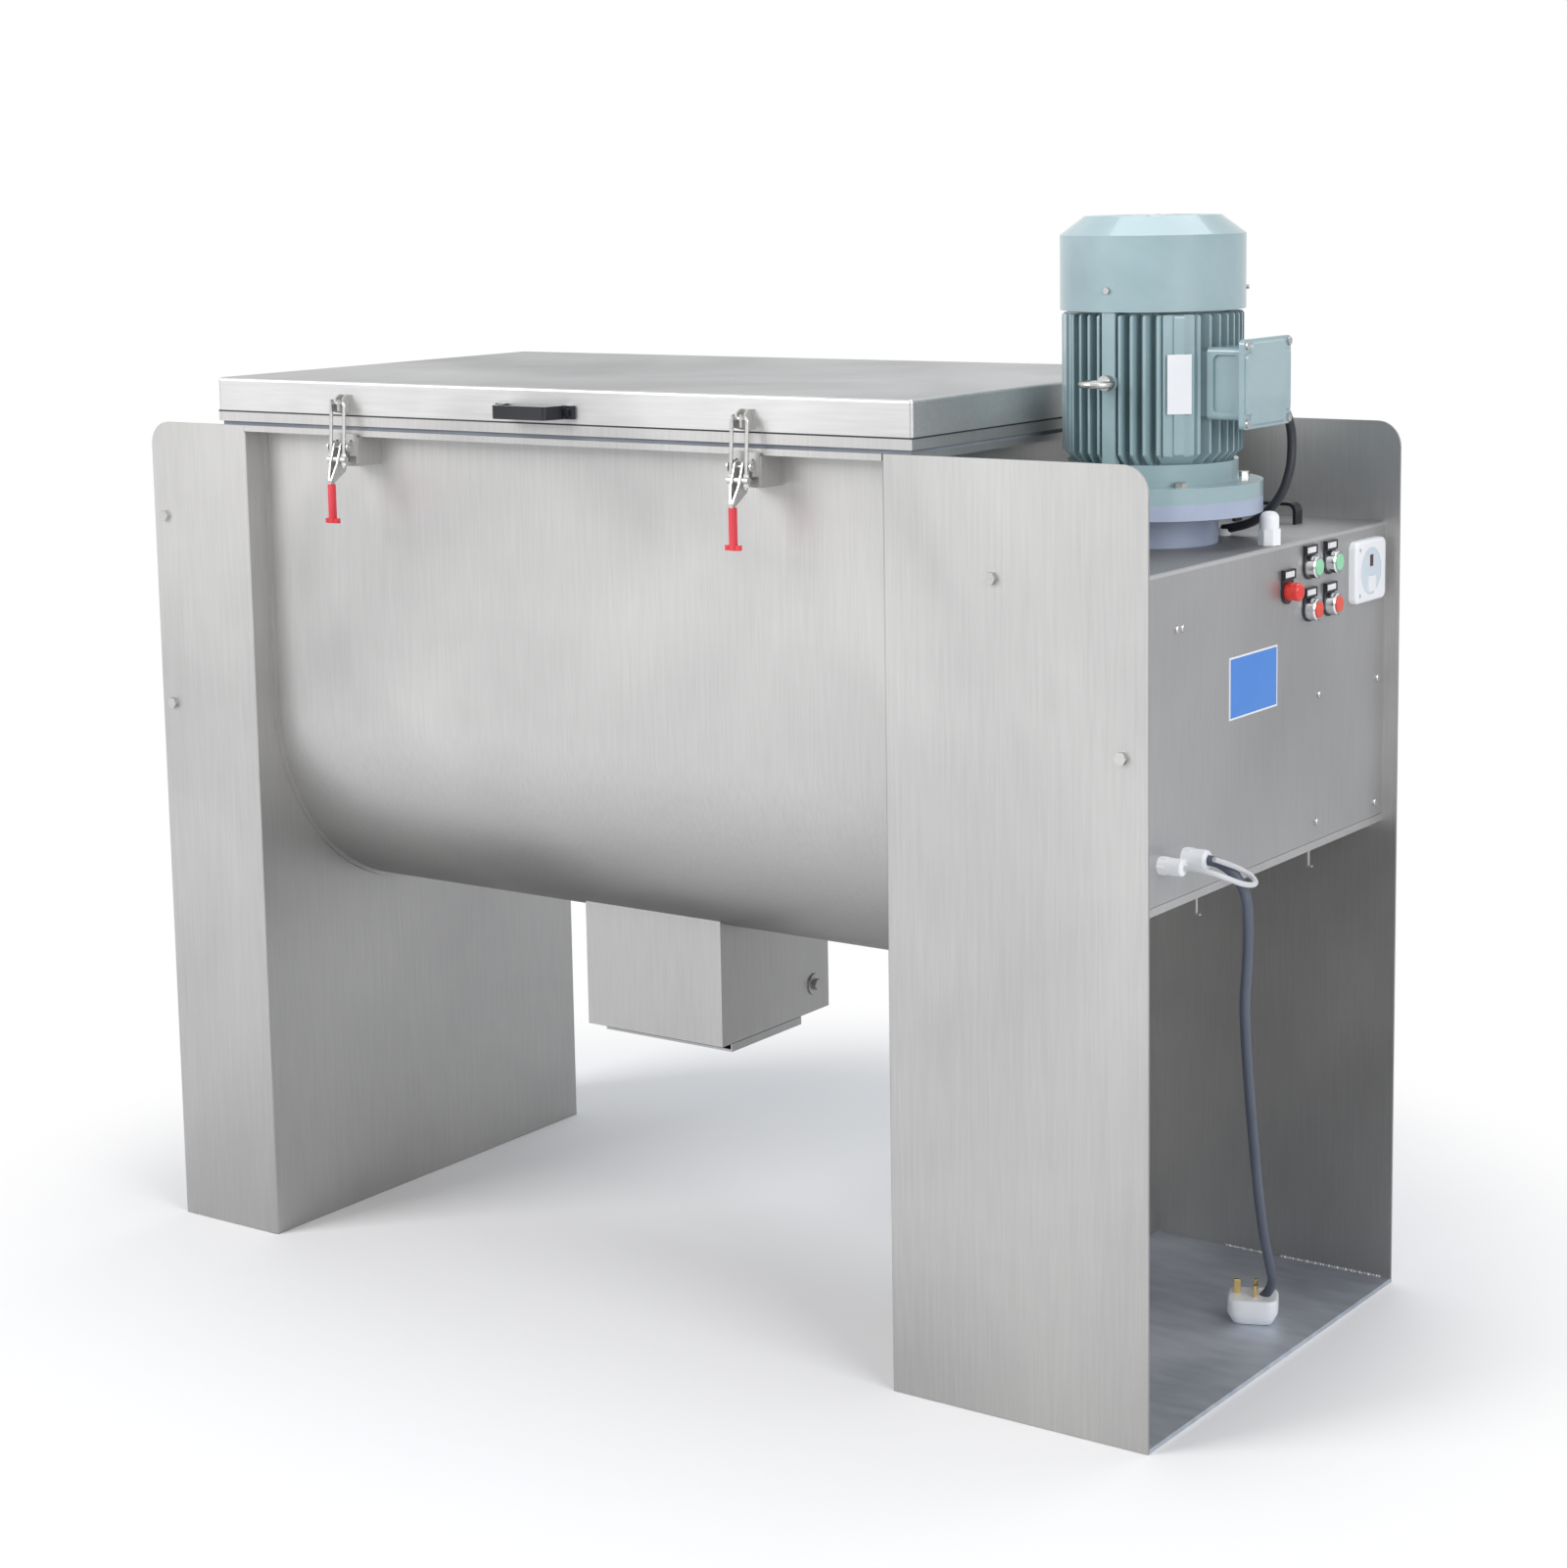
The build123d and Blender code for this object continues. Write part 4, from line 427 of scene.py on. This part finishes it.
# Dark display in the timer's recess
DISPLAY_MIDDLE = (0.7252, TROUGH_Y + 0.254, 0.909)
DISPLAY_SIZE = (0.0014, 0.0074, 0.0134)
display = bmesh.new()
add_slab(display, DISPLAY_MIDDLE, DISPLAY_SIZE, rounding=0.0003)
dress("timer_display", display, "frame", "display_brown")

# Two screws at the timer's side, one above the other
TIMER_FACE = 0.7250
TIMER_SCREW_Y = TROUGH_Y + 0.221
TIMER_SCREW_HEIGHTS = (0.870, 0.924)
timer_screws = bmesh.new()
for z in TIMER_SCREW_HEIGHTS:
    add_screw(timer_screws, (TIMER_FACE, TIMER_SCREW_Y, z), radius=0.0022, height=0.0012)
dress("timer_screws", timer_screws, "frame", "zinc_fasteners")

# Bare plate on the motor's front right lobe
LOBE_MIDDLE = Vector((0.570, TROUGH_Y, 1.136))
LOBE_REACH = 0.1031
LOBE_PLATE_SIZE = (0.0008, 0.028, 0.066)
lobe_turn = Matrix.Rotation(math.radians(-45), 4, "Z")
lobe_way = lobe_turn @ Vector((1, 0, 0))
lobe_plate = bmesh.new()
lobe_spot = LOBE_MIDDLE + LOBE_REACH * lobe_way
add_slab(lobe_plate, lobe_spot, LOBE_PLATE_SIZE, rounding=0.0003, turn=lobe_turn)
dress("motor_lobe_plate", lobe_plate, "frame", "white_plastic")

# Dark bead in the lid's seam between the pan and its frame: painted shade, a black strip
# standing in for the contact shadow in the gap there. It runs along the lid's outline,
# which is given by its low and its high corner in X and Y
LID_LOW, LID_HIGH = (-0.609, -0.293), (0.446, 0.310)
SEAM_Z, SEAM_HIGH, SEAM_DEEP = 1.0878, 0.0018, 0.0016
SEAM_ROUNDING = 0.0003
seam = bmesh.new()
seam_middle = ((LID_LOW[0] + LID_HIGH[0]) / 2, (LID_LOW[1] + LID_HIGH[1]) / 2)
seam_size = (LID_HIGH[0] - LID_LOW[0], LID_HIGH[1] - LID_LOW[1])
for y in (LID_LOW[1], LID_HIGH[1]):
    add_slab(seam, (seam_middle[0], y, SEAM_Z), (seam_size[0], SEAM_DEEP, SEAM_HIGH), SEAM_ROUNDING)
for x in (LID_LOW[0], LID_HIGH[0]):
    add_slab(seam, (x, seam_middle[1], SEAM_Z), (SEAM_DEEP, seam_size[1], SEAM_HIGH), SEAM_ROUNDING)
dress("lid_seam_shadow_bead", seam, "lid", "seal_rubber")

# Stitch welds along the right bay's rear corner, where the base plate meets the flange
BAY_CORNER_Y, BAY_CORNER_Z = 0.3285, 0.0055
WELD_RADIUS = 0.0022
BEADS_PER_METRE = 260
BEAD_LONG, BEAD_THICK = 1.3, 0.9
BEAD_SWELL, BEAD_BEAT = 0.22, 2.3


def weld_run(name, start_x, end_x):
    """Row of overlapping rounded beads, as a stitch weld leaves in a corner."""
    builder = bmesh.new()
    start = Vector((start_x, BAY_CORNER_Y, BAY_CORNER_Z))
    way = Vector((end_x, BAY_CORNER_Y, BAY_CORNER_Z)) - start
    beads = round(way.length * BEADS_PER_METRE)
    for bead in range(beads):
        spot = start + way * (bead + 0.5) / beads
        swell = 1 + BEAD_SWELL * math.sin(bead * BEAD_BEAT)
        size = (BEAD_LONG * swell, BEAD_THICK * swell, BEAD_THICK * swell, 1)
        shape = Matrix.Translation(spot) @ Matrix.Diagonal(size)
        bmesh.ops.create_icosphere(builder, subdivisions=2, radius=WELD_RADIUS, matrix=shape)
    dress(name, builder, "frame", "weld_bead")


weld_run("bay_weld_left", 0.508, 0.560)
weld_run("bay_weld_right", 0.585, 0.722)

# Mains plug, lying on its back on the base plate with its three pins up
PLUG_MIDDLE = Vector((0.6550, 0.1140, 0.0))
PLUG_TURN = Matrix.Rotation(math.radians(24), 4, "Z")
PLUG_HALF_WIDTH, PLUG_HALF_LENGTH = 0.0300, 0.0260
PLUG_FACE = 0.0364
PLUG_CORNER = 5.5
PLUG_STEPS = 40
# Height above the floor and share of the full outline, from the back to the face
PLUG_RINGS = (
    (0.0053, 0.70),
    (0.0064, 0.78),
    (0.0190, 1.0),
    (0.0335, 1.0),
    (0.0358, 0.97),
    (PLUG_FACE, 0.90),
)
# Each pin's place on the face and its size: the long one first, then the two short ones
PLUG_PINS = (
    (-0.019, 0.004, (0.0079, 0.0040, 0.0180)),
    (0.003, 0.015, (0.0040, 0.0063, 0.0150)),
    (0.003, -0.007, (0.0040, 0.0063, 0.0150)),
)
PIN_SEAT = 0.001


def rounded_ring(builder, half_width, half_length, height):
    """Ring with the outline of a rectangle whose corners are rounded."""
    ring = []
    for step in range(PLUG_STEPS):
        angle = math.tau * step / PLUG_STEPS
        cosine, sine = math.cos(angle), math.sin(angle)
        reach = (abs(cosine) ** PLUG_CORNER + abs(sine) ** PLUG_CORNER) ** (-1 / PLUG_CORNER)
        spot = Vector((half_width * reach * cosine, half_length * reach * sine, height))
        ring.append(builder.verts.new(PLUG_MIDDLE + PLUG_TURN @ spot))
    return ring


plug_body = bmesh.new()
plug_rings = [
    rounded_ring(plug_body, PLUG_HALF_WIDTH * share, PLUG_HALF_LENGTH * share, height)
    for height, share in PLUG_RINGS
]
close_rings(plug_body, plug_rings)
plug = dress("plug_body", plug_body, "frame", "white_plastic")
for face in plug.data.polygons:
    face.use_smooth = len(face.vertices) == 4
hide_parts("mains_plug")

plug_pins = bmesh.new()
for along, across, size in PLUG_PINS:
    spot = PLUG_MIDDLE + PLUG_TURN @ Vector((along, across, PLUG_FACE + size[2] / 2 - PIN_SEAT))
    add_slab(plug_pins, spot, size, rounding=0.0006, turn=PLUG_TURN)
pins = dress("plug_pins", plug_pins, "frame", "pin_brass")

# Cords as curves near the part's own tubes, with wider bends. Their routes are given by
# X from the right end, Y from the trough's middle plane, and Z, in millimetres
RIGHT_END = 0.735
MAINS_RADIUS, SIGNAL_RADIUS, MOTOR_RADIUS = 0.00575, 0.003, 0.0054
MAINS_ROUTE = (
    (-5.0, -196.0, 634.0),
    (-2.0, -196.0, 634.0),
    (22.0, -196.0, 634.0),
    (43.0, -196.0, 622.0),
    (55.0, -196.0, 601.0),
    (56.0, -193.0, 577.0),
    (49.0, -180.0, 525.0),
    (33.0, -158.0, 462.0),
    (5.0, -85.0, 330.0),
    (-33.0, 20.0, 155.0),
    (-47.0, 72.0, 85.0),
    (-54.0, 97.0, 50.0),
    (-71.0, 101.0, 32.0),
)
SIGNAL_ROUTE = (
    (-5.0, -251.0, 636.0),
    (5.0, -251.0, 636.0),
    (33.0, -250.0, 636.0),
    (54.0, -244.0, 630.0),
    (67.0, -229.0, 621.0),
    (71.0, -212.0, 617.0),
    (68.0, -198.0, 617.0),
    (57.0, -189.0, 622.0),
    (45.0, -194.0, 629.0),
    (38.0, -208.0, 636.0),
    (31.0, -224.0, 643.0),
)
MOTOR_ROUTE = (
    (-45.0, 56.0, 1106.0),
    (-45.0, 57.0, 1106.0),
    (-45.0, 77.0, 1106.0),
    (-45.0, 96.0, 1096.0),
    (-44.0, 107.0, 1077.0),
    (-43.0, 108.0, 1055.0),
    (-43.0, 104.0, 1028.0),
    (-53.0, 100.0, 996.0),
    (-78.0, 96.0, 970.0),
    (-103.0, 93.0, 960.0),
    (-123.0, 91.0, 957.0),
)


def cord_curve(name, route, radius, slot, **facts):
    """Round cord along a route. It stands for the tube that has its name without _curve."""
    points = [Vector((RIGHT_END + x / 1000, TROUGH_Y + y / 1000, z / 1000)) for x, y, z in route]
    curve = bpy.data.curves.new(name, "CURVE")
    curve.dimensions = "3D"
    curve.bevel_depth = radius
    curve.bevel_resolution = 6
    curve.resolution_u = 12
    curve.use_fill_caps = True
    spline = curve.splines.new("NURBS")
    spline.points.add(len(points) - 1)
    for knot, point in zip(spline.points, points):
        knot.co = (*point, 1)
    spline.order_u = 3
    spline.use_endpoint_u = True
    cord = bpy.data.objects.new(name, curve)
    bpy.context.scene.collection.objects.link(cord)
    curve.materials.append(FINISHES[slot])
    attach(cord, "frame")
    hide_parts(name.replace("_curve", ""))


cord_curve(
    "mains_cord_curve",
    MAINS_ROUTE,
    MAINS_RADIUS,
    "mains_sheath",
    length=0.736,
    far_end="plug",
    stiffness="medium",
    lay="hanging",
    with_pieces=(plug, pins),
)
cord_curve(
    "signal_cord_curve",
    SIGNAL_ROUTE,
    SIGNAL_RADIUS,
    "signal_sheath",
    length=0.176,
    far_end="bare",
    stiffness="limp",
    lay="loose",
)
cord_curve(
    "motor_cable_curve",
    MOTOR_ROUTE,
    MOTOR_RADIUS,
    "motor_sheath",
    length=0.228,
    far_end="object",
    stiffness="stiff",
    lay="hanging",
)

# Floor, which fades to white between two distances from its middle
FLOOR_DROP = 0.0006
FLOOR_REACH = 14.0
FADE_START, FADE_END = 0.72, 1.25


def floor_material():
    """Pale floor that turns to the backdrop's white away from the machine."""
    finish = Finish("studio_floor", specular=0.2)
    finish.shader.inputs["Base Color"].default_value = (0.86, 0.86, 0.87, 1)
    finish.shader.inputs["Roughness"].default_value = 0.7
    add = finish.tree.nodes.new
    link = finish.tree.links.new
    place = add("ShaderNodeTexCoord")
    distance = add("ShaderNodeVectorMath")
    distance.operation = "LENGTH"
    link(place.outputs["Object"], distance.inputs[0])
    fade = add("ShaderNodeMapRange")
    fade.interpolation_type = "SMOOTHSTEP"
    fade.inputs["From Min"].default_value = FADE_START
    fade.inputs["From Max"].default_value = FADE_END
    link(distance.outputs["Value"], fade.inputs["Value"])
    ray = add("ShaderNodeLightPath")
    seen = add("ShaderNodeMath")
    seen.operation = "MULTIPLY"
    link(ray.outputs["Is Camera Ray"], seen.inputs[0])
    link(fade.outputs["Result"], seen.inputs[1])
    glow = add("ShaderNodeEmission")
    glow.inputs["Color"].default_value = (1, 1, 1, 1)
    shown = add("ShaderNodeMixShader")
    link(seen.outputs[0], shown.inputs[0])
    link(finish.shader.outputs[0], shown.inputs[1])
    link(glow.outputs[0], shown.inputs[2])
    link(shown.outputs[0], finish.tree.nodes["Material Output"].inputs["Surface"])
    return finish.material


floor_mesh = bpy.data.meshes.new("floor")
floor_corners = ((-1, -1), (1, -1), (1, 1), (-1, 1))
floor_points = [(x * FLOOR_REACH, y * FLOOR_REACH, -FLOOR_DROP) for x, y in floor_corners]
floor_mesh.from_pydata(floor_points, [], [(0, 1, 2, 3)])
floor = bpy.data.objects.new("floor", floor_mesh)
floor_mesh.materials.append(floor_material())
bpy.context.scene.collection.objects.link(floor)


# Lamps
def area_lamp(name, place, aim, size, power, colour=(1, 1, 1)):
    lamp = bpy.data.lights.new(name, "AREA")
    lamp.size = size
    lamp.energy = power
    lamp.color = colour
    holder = bpy.data.objects.new(name, lamp)
    holder.location = place
    holder.rotation_euler = (Vector(aim) - Vector(place)).to_track_quat("-Z", "Y").to_euler()
    bpy.context.scene.collection.objects.link(holder)


AIM_MIDDLE, AIM_HIGHER = (0, 0, 0.7), (0, 0, 0.8)
COOL_WHITE = (0.9, 0.95, 1.0)
area_lamp("key_lamp", place=(-2.6, -4.2, 3.4), aim=AIM_MIDDLE, size=2.6, power=210)
area_lamp("side_lamp", place=(4.2, -1.6, 2.6), aim=AIM_MIDDLE, size=2.4, power=100)
area_lamp("top_lamp", place=(0.2, 1.2, 4.6), aim=AIM_HIGHER, size=3.0, power=80, colour=COOL_WHITE)

# Backdrop: soft light all round, and plain white where a camera or a mirror sees it
SKY_COLOUR = (0.97, 0.98, 1.0, 1)
SKY_STRENGTH = 0.42
world = bpy.data.worlds.new("studio")
bpy.context.scene.world = world
world.use_nodes = True
sky = world.node_tree
backdrop = sky.nodes["Background"]
backdrop.inputs["Color"].default_value = SKY_COLOUR
backdrop.inputs["Strength"].default_value = SKY_STRENGTH
white = sky.nodes.new("ShaderNodeBackground")
white.inputs["Color"].default_value = (1, 1, 1, 1)
ray = sky.nodes.new("ShaderNodeLightPath")
glossy = sky.nodes.new("ShaderNodeMath")
glossy.operation = "MAXIMUM"
clear = sky.nodes.new("ShaderNodeMath")
clear.operation = "MAXIMUM"
choice = sky.nodes.new("ShaderNodeMixShader")
sky.links.new(ray.outputs["Is Camera Ray"], glossy.inputs[0])
sky.links.new(ray.outputs["Is Glossy Ray"], glossy.inputs[1])
sky.links.new(glossy.outputs[0], clear.inputs[0])
sky.links.new(ray.outputs["Is Transmission Ray"], clear.inputs[1])
sky.links.new(clear.outputs[0], choice.inputs[0])
sky.links.new(backdrop.outputs[0], choice.inputs[1])
sky.links.new(white.outputs[0], choice.inputs[2])
sky.links.new(choice.outputs[0], sky.nodes["World Output"].inputs["Surface"])

# Camera, fitted to the photograph with a small shift, so that other views stay in frame.
# It stands to the front right, a little above the motor, and looks 8 degrees down
IMAGE_SIDE = 1601
FOCAL_PIXELS = 3142.1
CENTRE_ROW = 640
SENSOR_WIDTH = 36
FAR_CLIP = 60
CAMERA_PLACE = (2.2583, TROUGH_Y - 3.1009, 1.3686)
YAW, PITCH, ROLL = math.radians(35.481), math.radians(8.285), math.radians(-0.981)
ahead_x, ahead_y = -math.sin(YAW) * math.cos(PITCH), math.cos(YAW) * math.cos(PITCH)
forward = Vector((ahead_x, ahead_y, -math.sin(PITCH)))
level_right = Vector((math.cos(YAW), math.sin(YAW), 0))
level_up = level_right.cross(forward)
right = math.cos(ROLL) * level_right + math.sin(ROLL) * level_up
up = -math.sin(ROLL) * level_right + math.cos(ROLL) * level_up
camera_data = bpy.data.cameras.new("camera")
camera_data.sensor_width = SENSOR_WIDTH
camera_data.lens = FOCAL_PIXELS * SENSOR_WIDTH / IMAGE_SIDE
camera_data.shift_y = (CENTRE_ROW - IMAGE_SIDE / 2) / IMAGE_SIDE
camera_data.clip_end = FAR_CLIP
camera = bpy.data.objects.new("camera", camera_data)
camera_matrix = Matrix((right, up, -forward)).transposed().to_4x4()
camera_matrix.translation = CAMERA_PLACE
camera.matrix_world = camera_matrix
bpy.context.scene.collection.objects.link(camera)
bpy.context.scene.camera = camera
bpy.context.scene.view_settings.view_transform = "Standard"
